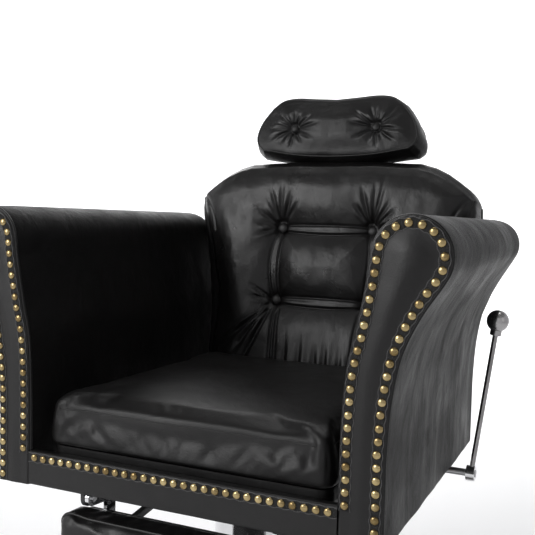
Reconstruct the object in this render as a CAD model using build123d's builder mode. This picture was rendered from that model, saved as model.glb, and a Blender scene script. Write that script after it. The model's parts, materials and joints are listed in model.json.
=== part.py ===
"""Hydraulic barber chair with scroll arms, a buttoned reclining back and a sliding headrest.

Millimetres, +Z up. The origin is on the floor under the middle of the round base. The sitter
faces -Y, and the sitter's left hand is at +X. The chair is drawn with the pump down and the
back upright.
"""

from build123d import *
import os
from math import atan2, cos, degrees, hypot, radians, sin, tan

os.makedirs("parts", exist_ok=True)

# ---------------------------------------------------------------- driving dimensions
# Whole chair
seat_top_z = 540.0  # top of the seat cushion above the floor
seat_width = 450.0  # seat cushion across
seat_depth = 477.0  # seat cushion, front to back
cushion_setback = 19.5  # seat cushion behind the front of the arms
arm_gap = 17.0  # between the seat cushion and each arm
arm_length = 600.0
arm_front_y = -290.0  # front of the arms, ahead of the column
back_lean = 10.0  # degrees back from upright
recline = 50.0  # degrees that the back and leg rest travel
running = 0.05  # radial clearance of a pin or shaft that turns
gap = 0.3  # between neighbouring pieces that don't touch

# Seat stack
cushion_thick = 76.7
cushion_corner = 28.0
cushion_top_round = 14.0
cushion_foot_round = 6.0
board_corner = 20.0
board_inset = 4.0
frame_front = 20.0  # seat frame behind the front of the cushion
frame_rear = 7.0  # seat frame ahead of the cushion's rear
board_thick = 18.0
tube = 30.0  # square tube of the seat frame
rail_inset = 35.0  # centre of each side rail in from the side of the cushion
mount_side = 200.0
mount_thick = 8.0
mount_corner = 12.0
mount_bolt = 5.0
mount_bolt_head = 8.5
mount_bolt_head_height = 7.0
mount_bolt_pitch = 160.0

# Arms
bracket_front = 110.0  # front brackets behind the front of the arms
bracket_lead = 100.0  # rear brackets ahead of the lever
bracket_width = 40.0
arm_drop = 135.0  # arm below the top of the cushion
arm_foot = 57.0  # arm across at its foot
arm_taper = 13.0  # outer face comes in towards the rear
scroll_radius = 49.0
scroll_out = 81.0  # centre of the scroll, outward of the arm's inner foot
scroll_rise = 226.0  # centre of the scroll above the cushion
panel_thick = 6.0
arm_rear_round = 45.0
arm_foot_round = 20.0
core_thick = 18.0
core_inset = 10.0
core_ends = 60.0  # core shorter than the arm, both ends together
screw_radius = 4.0
screw_head = 7.0
screw_head_height = 5.0
core_rise = 80.0  # core above the top of the cushion
nail_radius = 5.5
nail_height = 3.0
nail_dome = 6.6  # radius of the head's domed face
nail_pitch = 15.9
nail_inset = 9.0
shank_radius = 1.0
shank_length = 4.5
apron_top = 84.0  # top of the front apron, below the top of the cushion
apron_thick = 12.0
apron_nail_end = 12.0  # last apron nail in from the arm
nail_row_end = 10.0  # last nail of an arm up from its foot

# Back
back_gap = 10.0  # between the seat cushion and the front of the back, at the cushion's top
back_side_gap = 7.0  # foot of the back in from each arm
back_flare = 46.0  # wings outward of the back's foot
back_wing_rise = 313.0  # wing corners, up the back from the cushion's top
back_rise = 388.0
back_skirt = 45.0  # back cushion below the cushion's top
back_pad = 57.7
back_board_thick = 10.0
back_board_inset = 8.0
rear_panel_inset = 3.0
bar_thick = 16.0
frame_layer = 17.7
rear_pad = 9.7
upright_spacing = 350.0
bar_width = 24.0
button_radius = 9.5
button_height = 5.0
button_half = 92.0
button_rises = (109.0, 252.0)
pivot_back = 28.0  # recline pivot behind the front of the back
pivot_drop = 75.0  # recline pivot below the cushion's top
pin_radius = 6.0
eye_radius = 18.0
plate_thick = 6.0

# Leg linkage and lock
crank_y = 55.0
crank_z = -50.0
lug_drop = 40.0  # leg rest's cross bar below its crank pin
link_x = -121.0
link_radius = 5.0
link_eye = 12.0
link_pin = 4.0
open_pivot_play = 0.3
lock_x = 120.0
lock_room = 17.7  # lock's rod below the seat frame
lock_rod_radius = 4.0
lock_bore = 12.0
lock_wall = 2.0
lock_length = 250.0
lock_end = 8.0  # thickness of the barrel's ends
clamp_radius = 17.0
clamp_width = 16.0
lock_piston = 14.0
lock_rear_y = 150.0
fork_reach = 22.0
cheek = 4.0
crank_plate = 8.0
slot_play = 1.2
lock_pin = 5.0

# Lever
lever_y = 160.0
lever_below_arm = 20.0  # lever's shaft below the foot of the arms
lever_shaft_radius = 6.0
lever_rod_radius = 4.25
lever_hub_radius = 13.0
lever_hub_width = 14.0
rod_start = 9.0  # rod pressed into the hub from this far out
bearing_radius = 14.0
lever_ball_radius = 18.0
lever_ball_rise = 106.0
lever_lean = 33.8  # ball outward of the hub
lever_gap = 17.0  # hub's middle outward of the arm's foot

# Headrest
head_half = 165.0
head_top = 513.0  # up the back from the cushion's top
head_bottom = 396.0
head_pad = 64.0
head_board_thick = 21.0
head_board_inset = 3.0
post_tail = 6.0  # post's end above the foot of its socket
head_button_half = 84.0
head_button_rise = 452.0
head_button_radius = 8.0
post_radius = 6.0
post_half = 34.0
post_travel = 80.0
socket_wall = 2.4
socket_top_gap = 2.0
socket_length = 134.0
post_into_board = 36.0
collar_radius = 12.0
collar_height = 3.0

# Leg rest
leg_pivot_y = 28.0  # behind the front of the arms
leg_pivot_drop = 13.0  # below the foot of the arms
leg_pad_inset = 35.0  # leg pad in from each side of the cushion
leg_pad_height = 180.0
leg_pad_thick = 50.0
leg_pad_corner = 20.0
leg_pad_round = 12.0
leg_pad_drop = 22.0
leg_board = 10.0
leg_bar_inset = 40.0  # leg rest's bars in from each side of its pad
leg_bar_width = 24.0
leg_pin = 5.0
foot_under_pad = 25.0  # top of the foot plate below the leg pad
foot_width = 290.0
foot_depth = 115.0
foot_thick = 6.0
foot_corner = 18.0
tread_thick = 5.0

# Pump and base
stroke = 150.0
base_radius = 304.0
base_thick = 12.0
ring_width = 14.0
ring_height = 16.0
ring_round = 5.0
cover_play = 1.0  # cover's rim in from the ring
cover_step = 6.0  # upright edge of the cover
cover_wall = 2.5
dome_rise = 50.0
shroud_radius = 75.0
shroud_wall = 2.0
shroud_round = 12.0
pedal_slot_height = 84.0
shroud_top = 330.0
ram_radius = 25.0
piston_radius = 32.0
piston_height = 30.0
cylinder_radius = 40.0
gland_height = 22.0
gland_lip = 4.0  # gland wider than the cylinder all round
piston_room = 10.0  # oil space over the piston at full stroke
washer_thick = 5.0
spigot_room = 4.0  # hub's floor over the spigot
hub_gap = 0.5  # between the ram and the hub
hub_radius = 45.0
hub_height = 50.0
spigot_radius = 20.0
flange_radius = 62.0
flange_thick = 12.0
flange_bolt_circle = 50.0
flange_bolt = 5.0
flange_bolt_head = 8.0
flange_bolt_head_height = 6.0
pedal_pivot_y = 62.0
pedal_pivot_z = 85.0
pedal_reach = 250.0
pedal_rise = 6.0  # degrees above level at rest
pedal_pin = 5.0
pedal_bar = 19.0
pedal_web = 12.0
pedal_eye = 11.0
pedal_ear = 13.0
pedal_play = 0.5  # each side of the pedal's arm
pedal_tube = 7.0
pedal_half = 55.0
grip_radius = 14.0
axle_end = 2.0

# ---------------------------------------------------------------- worked-out places
inner_x = seat_width / 2 + arm_gap  # inner foot of the arms
arm_rear_y = arm_front_y + arm_length
arm_foot_z = seat_top_z - arm_drop
cushion_front_y = arm_front_y + cushion_setback
cushion_rear_y = cushion_front_y + seat_depth
cushion_foot_z = seat_top_z - cushion_thick
board_foot_z = cushion_foot_z - gap - board_thick
frame_foot_z = board_foot_z - gap - tube
back_y = cushion_rear_y + back_gap
pivot_y = back_y + pivot_back
pivot_z = seat_top_z - pivot_drop
lean_s = sin(radians(back_lean))
lean_c = cos(radians(back_lean))
board_depth = back_pad + gap
layer_depth = board_depth + back_board_thick + gap
rear_depth = layer_depth + frame_layer + gap
layer_mid = layer_depth + frame_layer / 2
rail_x = seat_width / 2 - rail_inset
rail_spacing = 2 * rail_x
back_foot_half = inner_x - back_side_gap
back_wing_half = back_foot_half + back_flare
leg_y = arm_front_y + leg_pivot_y
lock_z = frame_foot_z - lock_room
lock_drop = pivot_z - lock_z
leg_pivot_z = arm_foot_z - leg_pivot_drop
pad_top_z = leg_pivot_z - leg_pad_drop
pad_foot_z = pad_top_z - leg_pad_height
foot_z = pad_foot_z - foot_under_pad
leg_pad_width = seat_width - 2 * leg_pad_inset
leg_bar_half = leg_pad_width / 2 - leg_bar_inset
half_sweep = radians(recline / 2)
lock_reach = lock_drop * tan(half_sweep)
mount_top_z = frame_foot_z - gap
hub_top_z = mount_top_z - mount_thick
hub_foot_z = hub_top_z - hub_height
lever_z = arm_foot_z - lever_below_arm
lever_hub_x = inner_x + arm_foot + lever_gap
bracket_ys = (arm_front_y + bracket_front, lever_y - bracket_lead)
core_x = inner_x + core_inset + core_thick / 2
core_length = arm_length - core_ends


def back_plane(depth=0.0):
    """Plane of the leaning back: local x across, local y up the back, set behind the front by depth."""
    origin = (0, back_y + depth * lean_c, seat_top_z - depth * lean_s)
    return Plane(origin=origin, x_dir=(1, 0, 0), z_dir=(0, -lean_c, lean_s))


def side_plane(x):
    """Plane across the chair at x: local x is +Y and local y is +Z, and it extrudes towards +X."""
    return Plane(origin=(x, 0, 0), x_dir=(0, 1, 0), z_dir=(1, 0, 0))


def facing(y):
    """Upright plane at y that looks forward: local x is +X, local y is +Z, and rearward is negative."""
    return Plane.XZ.offset(-y)


def on_back(rise, depth):
    """Y and Z of a point up the back and behind its front."""
    y = back_y + rise * lean_s + depth * lean_c
    z = seat_top_z + rise * lean_c - depth * lean_s
    return y, z


def save(part, label):
    """Name a finished piece and write it."""
    part.label = label
    export_step(part, f"parts/{label}.step")


def slot_hull(points_radii):
    """Plate outline round a row of circles: each neighbouring pair is joined by its tangents."""
    for (y0, z0, r0), (y1, z1, r1) in zip(points_radii, points_radii[1:]):
        with BuildSketch(mode=Mode.PRIVATE) as pair:
            with Locations((y0, z0)):
                Circle(r0)
            with Locations((y1, z1)):
                Circle(r1)
            make_hull()
        add(pair.sketch)


def arm_edges(side, taper=0.0, inset=0.0):
    """Open outline of an arm seen from the front: up the inner face, over the scroll, down outside."""
    centre = (scroll_out - taper / 2, scroll_rise + taper / 5)
    radius = scroll_radius - inset - taper / 2
    start, finish = radians(168), radians(-35)
    inner = [(0, -arm_drop), (1, 11), (6, 88), (16, 133), (28, 198)]
    outer = [(94, 156), (73, 110), (62, 55), (arm_foot, -10), (arm_foot, -arm_drop)]
    inner = [(dx + inset, dz) for dx, dz in inner]
    outer = [(dx - taper - inset, dz) for dx, dz in outer]
    top = [(centre[0] + radius * cos(a), centre[1] + radius * sin(a)) for a in (start, finish)]
    crown = (centre[0] + radius * cos(radians(80)), centre[1] + radius * sin(radians(80)))

    def place(point):
        return (side * (inner_x + point[0]), seat_top_z + point[1])

    Line(place(inner[0]), place(inner[1]))
    Spline(
        *[place(p) for p in inner[1:]],
        place(top[0]),
        tangents=[(0, 1), (-side * -sin(start), -cos(start))],
    )
    ThreePointArc(place(top[0]), place(crown), place(top[1]))
    Spline(
        place(top[1]),
        *[place(p) for p in outer[:-1]],
        tangents=[(side * sin(finish), -cos(finish)), (0, -1)],
    )
    Line(place(outer[-2]), place(outer[-1]))


def arm_face(side, taper=0.0):
    """Filled outline of an arm."""
    with BuildLine() as outline:
        arm_edges(side, taper)
        Line((side * (inner_x + arm_foot - taper), arm_foot_z), (side * inner_x, arm_foot_z))
    make_face(outline.edges())


def nail_shape():
    """One domed upholstery nail on the XY plane, its head up +Z and its shank down."""
    with BuildPart(mode=Mode.PRIVATE) as nail:
        with BuildSketch(Plane.XZ):
            with BuildLine():
                RadiusArc((0, nail_height), (nail_radius, 0), nail_dome)
                Polyline(
                    (nail_radius, 0),
                    (shank_radius, 0),
                    (shank_radius, -shank_length),
                    (0, -shank_length),
                    (0, nail_height),
                )
            make_face()
        revolve(axis=Axis.Z)
    return nail.part


def nail_row(points):
    """Nails on the front of the arms and apron, at points given as (x, z)."""
    for x, z in points:
        with Locations(Plane(origin=(x, arm_front_y, z), x_dir=(1, 0, 0), z_dir=(0, -1, 0))):
            add(nail_shape())


def button_shape(radius, height):
    """One covered button on the XY plane, domed towards +Z."""
    sphere = (radius**2 + height**2) / (2 * height)
    with BuildPart(mode=Mode.PRIVATE) as button:
        with BuildSketch(Plane.XZ):
            with BuildLine():
                RadiusArc((0, height), (radius, 0), sphere)
                Polyline((radius, 0), (0, 0), (0, height))
            make_face()
        revolve(axis=Axis.Z)
    return button.part


# ---------------------------------------------------------------- base and pump
with BuildPart() as base_plate:
    with BuildSketch():
        Circle(base_radius - ring_width)
    extrude(amount=base_thick)
save(base_plate.part, "base_plate")

with BuildPart() as base_ring:
    with BuildSketch():
        Circle(base_radius)
        Circle(base_radius - ring_width, mode=Mode.SUBTRACT)
    extrude(amount=ring_height)
    fillet(base_ring.edges().group_by(Axis.Z)[-1].sort_by(SortBy.LENGTH)[-1], ring_round)
save(base_ring.part, "base_ring")

cover_rim = base_radius - ring_width - cover_play
cover_foot_z = base_thick + gap
with BuildPart() as base_cover:
    with BuildSketch(Plane.XZ):
        for drop, mode in ((0.0, Mode.ADD), (cover_wall, Mode.SUBTRACT)):
            rim = cover_rim - drop
            with BuildLine():
                Line((rim, cover_foot_z), (rim, cover_foot_z + cover_step))
                Spline(
                    (rim, cover_foot_z + cover_step),
                    (rim * 0.62, dome_rise * 0.68 - drop),
                    (shroud_radius + gap, dome_rise - drop),
                    tangents=[(-1, 1), (-1, 0.05)],
                )
                Polyline(
                    (shroud_radius + gap, dome_rise - drop),
                    (shroud_radius + gap, cover_foot_z),
                    (rim, cover_foot_z),
                )
            make_face(mode=mode)
    revolve(axis=Axis.Z)
save(base_cover.part, "base_cover")

flange_top_z = base_thick + flange_thick
cylinder_top_z = shroud_top - gland_height
piston_z = cylinder_top_z - stroke - piston_height - piston_room
fork_half_width = pedal_bar / 2 + pedal_play
with BuildPart() as pump_cylinder:
    with BuildSketch(Plane.XY.offset(base_thick)):
        Circle(flange_radius)
    extrude(amount=flange_thick)
    with BuildSketch(Plane.XY.offset(flange_top_z)):
        Circle(cylinder_radius)
    extrude(amount=cylinder_top_z - flange_top_z)
    with BuildSketch(side_plane(-(fork_half_width + plate_thick))):
        with Locations((pedal_pivot_y, pedal_pivot_z)):
            Circle(pedal_ear)
        with Locations(((pedal_pivot_y + cylinder_radius - 4) / 2, pedal_pivot_z)):
            Rectangle(pedal_pivot_y - cylinder_radius + 4, 2 * pedal_ear)
    extrude(amount=2 * (fork_half_width + plate_thick))
    with BuildSketch(side_plane(-fork_half_width)):
        with Locations((pedal_pivot_y + 8, pedal_pivot_z)):
            Rectangle(44, 40)
    extrude(amount=2 * fork_half_width, mode=Mode.SUBTRACT)
    with BuildSketch(side_plane(-(fork_half_width + plate_thick))):
        with Locations((pedal_pivot_y, pedal_pivot_z)):
            Circle(pedal_pin)
    extrude(amount=2 * (fork_half_width + plate_thick), mode=Mode.SUBTRACT)
    with BuildSketch(Plane.XY.offset(flange_top_z)):
        Circle(piston_radius + running)
    extrude(amount=cylinder_top_z - flange_top_z, mode=Mode.SUBTRACT)
    with BuildSketch(Plane.XY.offset(base_thick)):
        with PolarLocations(flange_bolt_circle, 4, start_angle=45):
            Circle(flange_bolt)
    extrude(amount=flange_thick, mode=Mode.SUBTRACT)
save(pump_cylinder.part, "pump_cylinder")

with BuildPart() as pump_bolts:
    with BuildSketch(Plane.XY.offset(base_thick)):
        with PolarLocations(flange_bolt_circle, 4, start_angle=45):
            Circle(flange_bolt)
    extrude(amount=flange_thick)
    with BuildSketch(Plane.XY.offset(flange_top_z)):
        with PolarLocations(flange_bolt_circle, 4, start_angle=45):
            RegularPolygon(flange_bolt_head, 6)
    extrude(amount=flange_bolt_head_height)
save(pump_bolts.part, "pump_bolts")

with BuildPart() as pump_gland:
    with BuildSketch(Plane.XY.offset(cylinder_top_z)):
        Circle(cylinder_radius + gland_lip)
        Circle(ram_radius + running, mode=Mode.SUBTRACT)
    extrude(amount=gland_height)
    chamfer(pump_gland.edges().group_by(Axis.Z)[-1].sort_by(SortBy.LENGTH)[-1], 3)
save(pump_gland.part, "pump_gland")

with BuildPart() as pump_shroud:
    with BuildSketch(Plane.XY.offset(flange_top_z + gap)):
        Circle(shroud_radius)
    extrude(amount=shroud_top - flange_top_z - gap)
    fillet(pump_shroud.edges().group_by(Axis.Z)[-1], shroud_round)
    offset(amount=-shroud_wall, openings=pump_shroud.faces().sort_by(Axis.Z)[0])
    with BuildSketch(Plane.XY.offset(shroud_top - 2 * shroud_wall)):
        Circle(cylinder_radius + gland_lip + gap)
    extrude(amount=3 * shroud_wall, mode=Mode.SUBTRACT)
    with BuildSketch(facing(shroud_radius - 20)):
        with Locations((0, pedal_pivot_z + 6)):
            RectangleRounded(pedal_bar + 14, pedal_slot_height, 10)
    extrude(amount=-40, mode=Mode.SUBTRACT)
save(pump_shroud.part, "pump_shroud")

with BuildPart() as pedal_axle:
    with BuildSketch(side_plane(-(fork_half_width + plate_thick + axle_end))):
        with Locations((pedal_pivot_y, pedal_pivot_z)):
            Circle(pedal_pin)
    extrude(amount=2 * (fork_half_width + plate_thick + axle_end))
save(pedal_axle.part, "pedal_axle")

pedal_tip_y = pedal_pivot_y + pedal_reach * cos(radians(pedal_rise))
pedal_tip_z = pedal_pivot_z + pedal_reach * sin(radians(pedal_rise))
pedal_line = Plane(
    origin=(0, pedal_pivot_y, pedal_pivot_z),
    x_dir=(0, cos(radians(pedal_rise)), sin(radians(pedal_rise))),
    z_dir=(1, 0, 0),
)
with BuildPart() as pedal_arm:
    with BuildSketch(pedal_line.offset(-pedal_bar / 2)):
        Circle(pedal_eye)
        with Locations((pedal_reach / 2, 0)):
            Rectangle(pedal_reach, pedal_web)
    extrude(amount=pedal_bar)
    with BuildSketch(pedal_line.offset(-pedal_half)):
        with Locations((pedal_reach, 0)):
            Circle(pedal_tube)
    extrude(amount=2 * pedal_half)
    with BuildSketch(pedal_line.offset(-pedal_bar / 2)):
        Circle(pedal_pin + running)
    extrude(amount=pedal_bar, mode=Mode.SUBTRACT)
save(pedal_arm.part, "pedal_arm")

with BuildPart() as pedal_grips:
    for side in (1, -1):
        with BuildSketch(pedal_line.offset(side * (pedal_bar / 2 + 1))):
            with Locations((pedal_reach, 0)):
                Circle(grip_radius)
                Circle(pedal_tube, mode=Mode.SUBTRACT)
        extrude(amount=side * (pedal_half - pedal_bar / 2 + 1))
save(pedal_grips.part, "pedal_grips")

ram_top_z = hub_foot_z - hub_gap
spigot_top_z = hub_top_z - spigot_room
washer_foot_z = ram_top_z - washer_thick
with BuildPart() as pump_ram:
    with BuildSketch(Plane.XY.offset(piston_z)):
        Circle(piston_radius)
    extrude(amount=piston_height)
    with BuildSketch(Plane.XY.offset(piston_z + piston_height)):
        Circle(ram_radius)
    extrude(amount=washer_foot_z - piston_z - piston_height)
    with BuildSketch(Plane.XY.offset(washer_foot_z)):
        Circle(spigot_radius)
    extrude(amount=spigot_top_z - washer_foot_z)
save(pump_ram.part, "pump_ram")

with BuildPart() as swivel_washer:
    with BuildSketch(Plane.XY.offset(washer_foot_z)):
        Circle(hub_radius - 8)
        Circle(spigot_radius, mode=Mode.SUBTRACT)
    extrude(amount=washer_thick)
save(swivel_washer.part, "swivel_washer")

# ---------------------------------------------------------------- seat
with BuildPart() as swivel_hub:
    with BuildSketch(Plane.XY.offset(hub_foot_z)):
        Circle(hub_radius)
    extrude(amount=hub_height)
    with BuildSketch(Plane.XY.offset(hub_foot_z)):
        Circle(spigot_radius + running)
    extrude(amount=hub_height - 3, mode=Mode.SUBTRACT)
    chamfer(swivel_hub.edges().group_by(Axis.Z)[0].sort_by(SortBy.LENGTH)[-1], 3)
save(swivel_hub.part, "swivel_hub")

cross_y = mount_bolt_pitch / 2
with BuildPart() as mount_plate:
    with BuildSketch(Plane.XY.offset(hub_top_z)):
        RectangleRounded(mount_side, mount_side, mount_corner)
        with GridLocations(mount_bolt_pitch, mount_bolt_pitch, 2, 2):
            Circle(mount_bolt, mode=Mode.SUBTRACT)
    extrude(amount=mount_thick)
save(mount_plate.part, "mount_plate")

with BuildPart() as mount_bolts:
    with BuildSketch(Plane.XY.offset(hub_top_z)):
        with GridLocations(mount_bolt_pitch, mount_bolt_pitch, 2, 2):
            Circle(mount_bolt)
    extrude(amount=mount_thick + gap + tube / 2)
    with BuildSketch(Plane.XY.offset(hub_top_z - mount_bolt_head_height)):
        with GridLocations(mount_bolt_pitch, mount_bolt_pitch, 2, 2):
            RegularPolygon(mount_bolt_head, 6)
    extrude(amount=mount_bolt_head_height)
save(mount_bolts.part, "mount_bolts")

frame_front_y = cushion_front_y + frame_front
frame_rear_y = cushion_rear_y - frame_rear
with BuildPart() as seat_frame:
    with BuildSketch(Plane.XY.offset(frame_foot_z)):
        for side in (1, -1):
            with Locations((side * rail_x, (frame_front_y + frame_rear_y) / 2)):
                Rectangle(tube, frame_rear_y - frame_front_y)
        for y in (frame_front_y + tube / 2, -cross_y, cross_y, frame_rear_y - tube / 2):
            with Locations((0, y)):
                Rectangle(rail_spacing, tube)
    extrude(amount=tube)
    with BuildSketch(Plane.XY.offset(frame_foot_z)):
        with GridLocations(mount_bolt_pitch, mount_bolt_pitch, 2, 2):
            Circle(mount_bolt)
    extrude(amount=tube / 2, mode=Mode.SUBTRACT)
save(seat_frame.part, "seat_frame")

with BuildPart() as seat_board:
    board_front = cushion_front_y + board_inset
    board_rear = cushion_rear_y - board_inset
    with BuildSketch(Plane.XY.offset(board_foot_z)):
        with Locations((0, (board_front + board_rear) / 2)):
            RectangleRounded(seat_width - 2 * board_inset, board_rear - board_front, board_corner)
    extrude(amount=board_thick)
save(seat_board.part, "seat_board")

with BuildPart() as seat_cushion:
    with BuildSketch(Plane.XY.offset(cushion_foot_z)):
        with Locations((0, (cushion_front_y + cushion_rear_y) / 2)):
            RectangleRounded(seat_width, seat_depth, cushion_corner)
    extrude(amount=cushion_thick)
    fillet(seat_cushion.edges().group_by(Axis.Z)[-1], cushion_top_round)
    fillet(seat_cushion.edges().group_by(Axis.Z)[0], cushion_foot_round)
save(seat_cushion.part, "seat_cushion")

apron_x = inner_x - gap
with BuildPart() as front_apron:
    with BuildSketch(facing(arm_front_y)):
        with Locations((0, seat_top_z - (apron_top + arm_drop) / 2)):
            Rectangle(2 * apron_x, arm_drop - apron_top)
    extrude(amount=-apron_thick)
save(front_apron.part, "front_apron")

apron_nail_half = inner_x - apron_nail_end
apron_nail_count = round(2 * apron_nail_half / nail_pitch)
apron_nail_z = seat_top_z - apron_top - nail_inset
with BuildPart() as apron_nails:
    step = 2 * apron_nail_half / apron_nail_count
    nail_row([(-apron_nail_half + i * step, apron_nail_z) for i in range(apron_nail_count + 1)])
save(apron_nails.part, "apron_nails")

for side, hand in ((1, "left"), (-1, "right")):
    core_mid = side * core_x
    with BuildPart() as arm_panel:
        with BuildSketch(facing(arm_front_y)):
            arm_face(side)
        extrude(amount=-panel_thick)
    save(arm_panel.part, f"arm_panel_{hand}")

    with BuildPart() as arm:
        with BuildSketch(facing(arm_front_y + panel_thick)):
            arm_face(side)
        with BuildSketch(facing(arm_rear_y)):
            arm_face(side, arm_taper)
        loft()
        top_z = seat_top_z + scroll_rise + scroll_radius
        with BuildSketch(side_plane(side * (inner_x - 50))) as corners:
            with BuildLine():
                front = arm_front_y - 20
                Polyline(
                    (arm_rear_y - arm_foot_round, arm_foot_z),
                    (front, arm_foot_z),
                    (front, top_z),
                    (arm_rear_y - arm_rear_round, top_z),
                )
                RadiusArc(
                    (arm_rear_y - arm_rear_round, top_z),
                    (arm_rear_y, top_z - arm_rear_round),
                    arm_rear_round,
                )
                Line((arm_rear_y, top_z - arm_rear_round), (arm_rear_y, arm_foot_z + arm_foot_round))
                RadiusArc(
                    (arm_rear_y, arm_foot_z + arm_foot_round),
                    (arm_rear_y - arm_foot_round, arm_foot_z),
                    arm_foot_round,
                )
            make_face()
        extrude(amount=side * 300, mode=Mode.INTERSECT)
        with BuildSketch(Plane.XY.offset(arm_foot_z)):
            with Locations((core_mid, (arm_front_y + arm_rear_y) / 2)):
                Rectangle(core_thick, core_length)
        extrude(amount=core_rise + arm_drop, mode=Mode.SUBTRACT)
    save(arm.part, f"arm_{hand}")

    with BuildPart() as arm_core:
        with BuildSketch(Plane.XY.offset(arm_foot_z)):
            with Locations((core_mid, (arm_front_y + arm_rear_y) / 2)):
                Rectangle(core_thick, core_length)
        extrude(amount=core_rise + arm_drop)
    save(arm_core.part, f"arm_core_{hand}")

    with BuildLine(mode=Mode.PRIVATE) as nail_path:
        arm_edges(side, inset=nail_inset)
    path = nail_path.wire()
    nails = round((path.length - (arm_drop - apron_top)) / nail_pitch)
    first = arm_drop - apron_top - 2.0
    last = path.length - nail_row_end
    spots = [
        path.position_at(first + (last - first) * i / nails, PositionMode.LENGTH)
        for i in range(nails + 1)
    ]
    with BuildPart() as arm_nails:
        nail_row([(spot.X, spot.Y) for spot in spots])
    save(arm_nails.part, f"arm_nails_{hand}")

with BuildPart() as arm_brackets:
    for y in bracket_ys:
        for side in (1, -1):
            reach = inner_x + core_inset + core_thick - rail_x
            with BuildSketch(Plane.XY.offset(arm_foot_z - plate_thick)):
                with Locations((side * (rail_x + reach / 2 - tube / 4), y)):
                    Rectangle(reach + tube / 2, bracket_width)
            extrude(amount=plate_thick)
            with BuildSketch(Plane.XY.offset(arm_foot_z)):
                with Locations((side * rail_x, y)):
                    Rectangle(tube, bracket_width)
            extrude(amount=frame_foot_z - arm_foot_z)
            with BuildSketch(Plane.XY.offset(arm_foot_z - plate_thick)):
                with Locations((side * core_x, y)):
                    Circle(screw_radius)
            extrude(amount=plate_thick, mode=Mode.SUBTRACT)
save(arm_brackets.part, "arm_brackets")

with BuildPart() as arm_screws:
    for y in bracket_ys:
        for side in (1, -1):
            with BuildSketch(Plane.XY.offset(arm_foot_z - plate_thick)):
                with Locations((side * core_x, y)):
                    Circle(screw_radius)
            extrude(amount=plate_thick)
            with BuildSketch(Plane.XY.offset(arm_foot_z - plate_thick - screw_head_height)):
                with Locations((side * core_x, y)):
                    RegularPolygon(screw_head, 6)
            extrude(amount=screw_head_height)
save(arm_screws.part, "arm_screws")

# ---------------------------------------------------------------- recline hinge, seat side
hinge_x = rail_x + tube / 2 + gap
with BuildPart() as hinge_brackets:
    for side in (1, -1):
        with BuildSketch(side_plane(side * hinge_x)):
            slot_hull(
                [
                    (cross_y + tube, frame_foot_z + tube / 2, tube / 2 - 1),
                    (frame_rear_y + 8, frame_foot_z + tube / 2, tube / 2 - 1),
                    (pivot_y, pivot_z, eye_radius),
                ]
            )
            with Locations((pivot_y, pivot_z)):
                Circle(pin_radius, mode=Mode.SUBTRACT)
        extrude(amount=side * plate_thick)
save(hinge_brackets.part, "hinge_brackets")

side_x = hinge_x - 2.0 - plate_thick
with BuildPart() as recline_pins:
    for side in (1, -1):
        with BuildSketch(side_plane(side * (side_x - 3))):
            with Locations((pivot_y, pivot_z)):
                Circle(pin_radius)
        extrude(amount=side * (hinge_x + plate_thick + 3 - side_x))
        with BuildSketch(side_plane(side * (hinge_x + plate_thick))):
            with Locations((pivot_y, pivot_z)):
                Circle(pin_radius + 4)
        extrude(amount=side * 3.5)
save(recline_pins.part, "recline_pins")

# ---------------------------------------------------------------- back
def back_outline(inset=0.0, foot=-back_skirt, rise=back_rise):
    """Outline of the back in its own plane, brought in all round by inset."""
    half = [
        (back_foot_half - inset, foot + inset),
        (back_foot_half - inset, 0),
        (back_foot_half + 5 - inset, 91),
        (back_foot_half + 15 - inset, 156),
        (back_foot_half + 27 - inset, 219),
        (back_foot_half + 36 - inset, 268),
        (back_wing_half - inset, back_wing_rise - inset / 2),
    ]
    crown = [
        (back_wing_half - inset, back_wing_rise - inset / 2),
        (back_wing_half - 38 - inset * 0.6, rise - 38 - inset),
        (back_wing_half - 107 - inset * 0.3, rise - 4 - inset),
    ]
    with BuildLine() as outline:
        for side in (1, -1):
            Line((side * half[0][0], half[0][1]), (side * half[1][0], half[1][1]))
            Spline(*[(side * x, y) for x, y in half[1:]])
            Spline(*[(side * x, y) for x, y in crown])
        Line((crown[-1][0], crown[-1][1]), (-crown[-1][0], crown[-1][1]))
        Line((half[0][0], half[0][1]), (-half[0][0], half[0][1]))
    make_face(outline.edges())


with BuildPart() as back_cushion:
    with BuildSketch(back_plane(0)):
        back_outline()
    extrude(amount=-back_pad)
save(back_cushion.part, "back_cushion")

with BuildPart() as back_board:
    with BuildSketch(back_plane(board_depth)):
        back_outline(inset=back_board_inset)
    extrude(amount=-back_board_thick)
save(back_board.part, "back_board")

with BuildPart() as back_rear_panel:
    with BuildSketch(back_plane(rear_depth)):
        back_outline(inset=rear_panel_inset)
    extrude(amount=-rear_pad)
save(back_rear_panel.part, "back_rear_panel")

with BuildPart() as back_buttons:
    for rise in button_rises:
        for side in (1, -1):
            with Locations(back_plane(0) * Location((side * button_half, rise, 0))):
                add(button_shape(button_radius, button_height))
save(back_buttons.part, "back_buttons")

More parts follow.
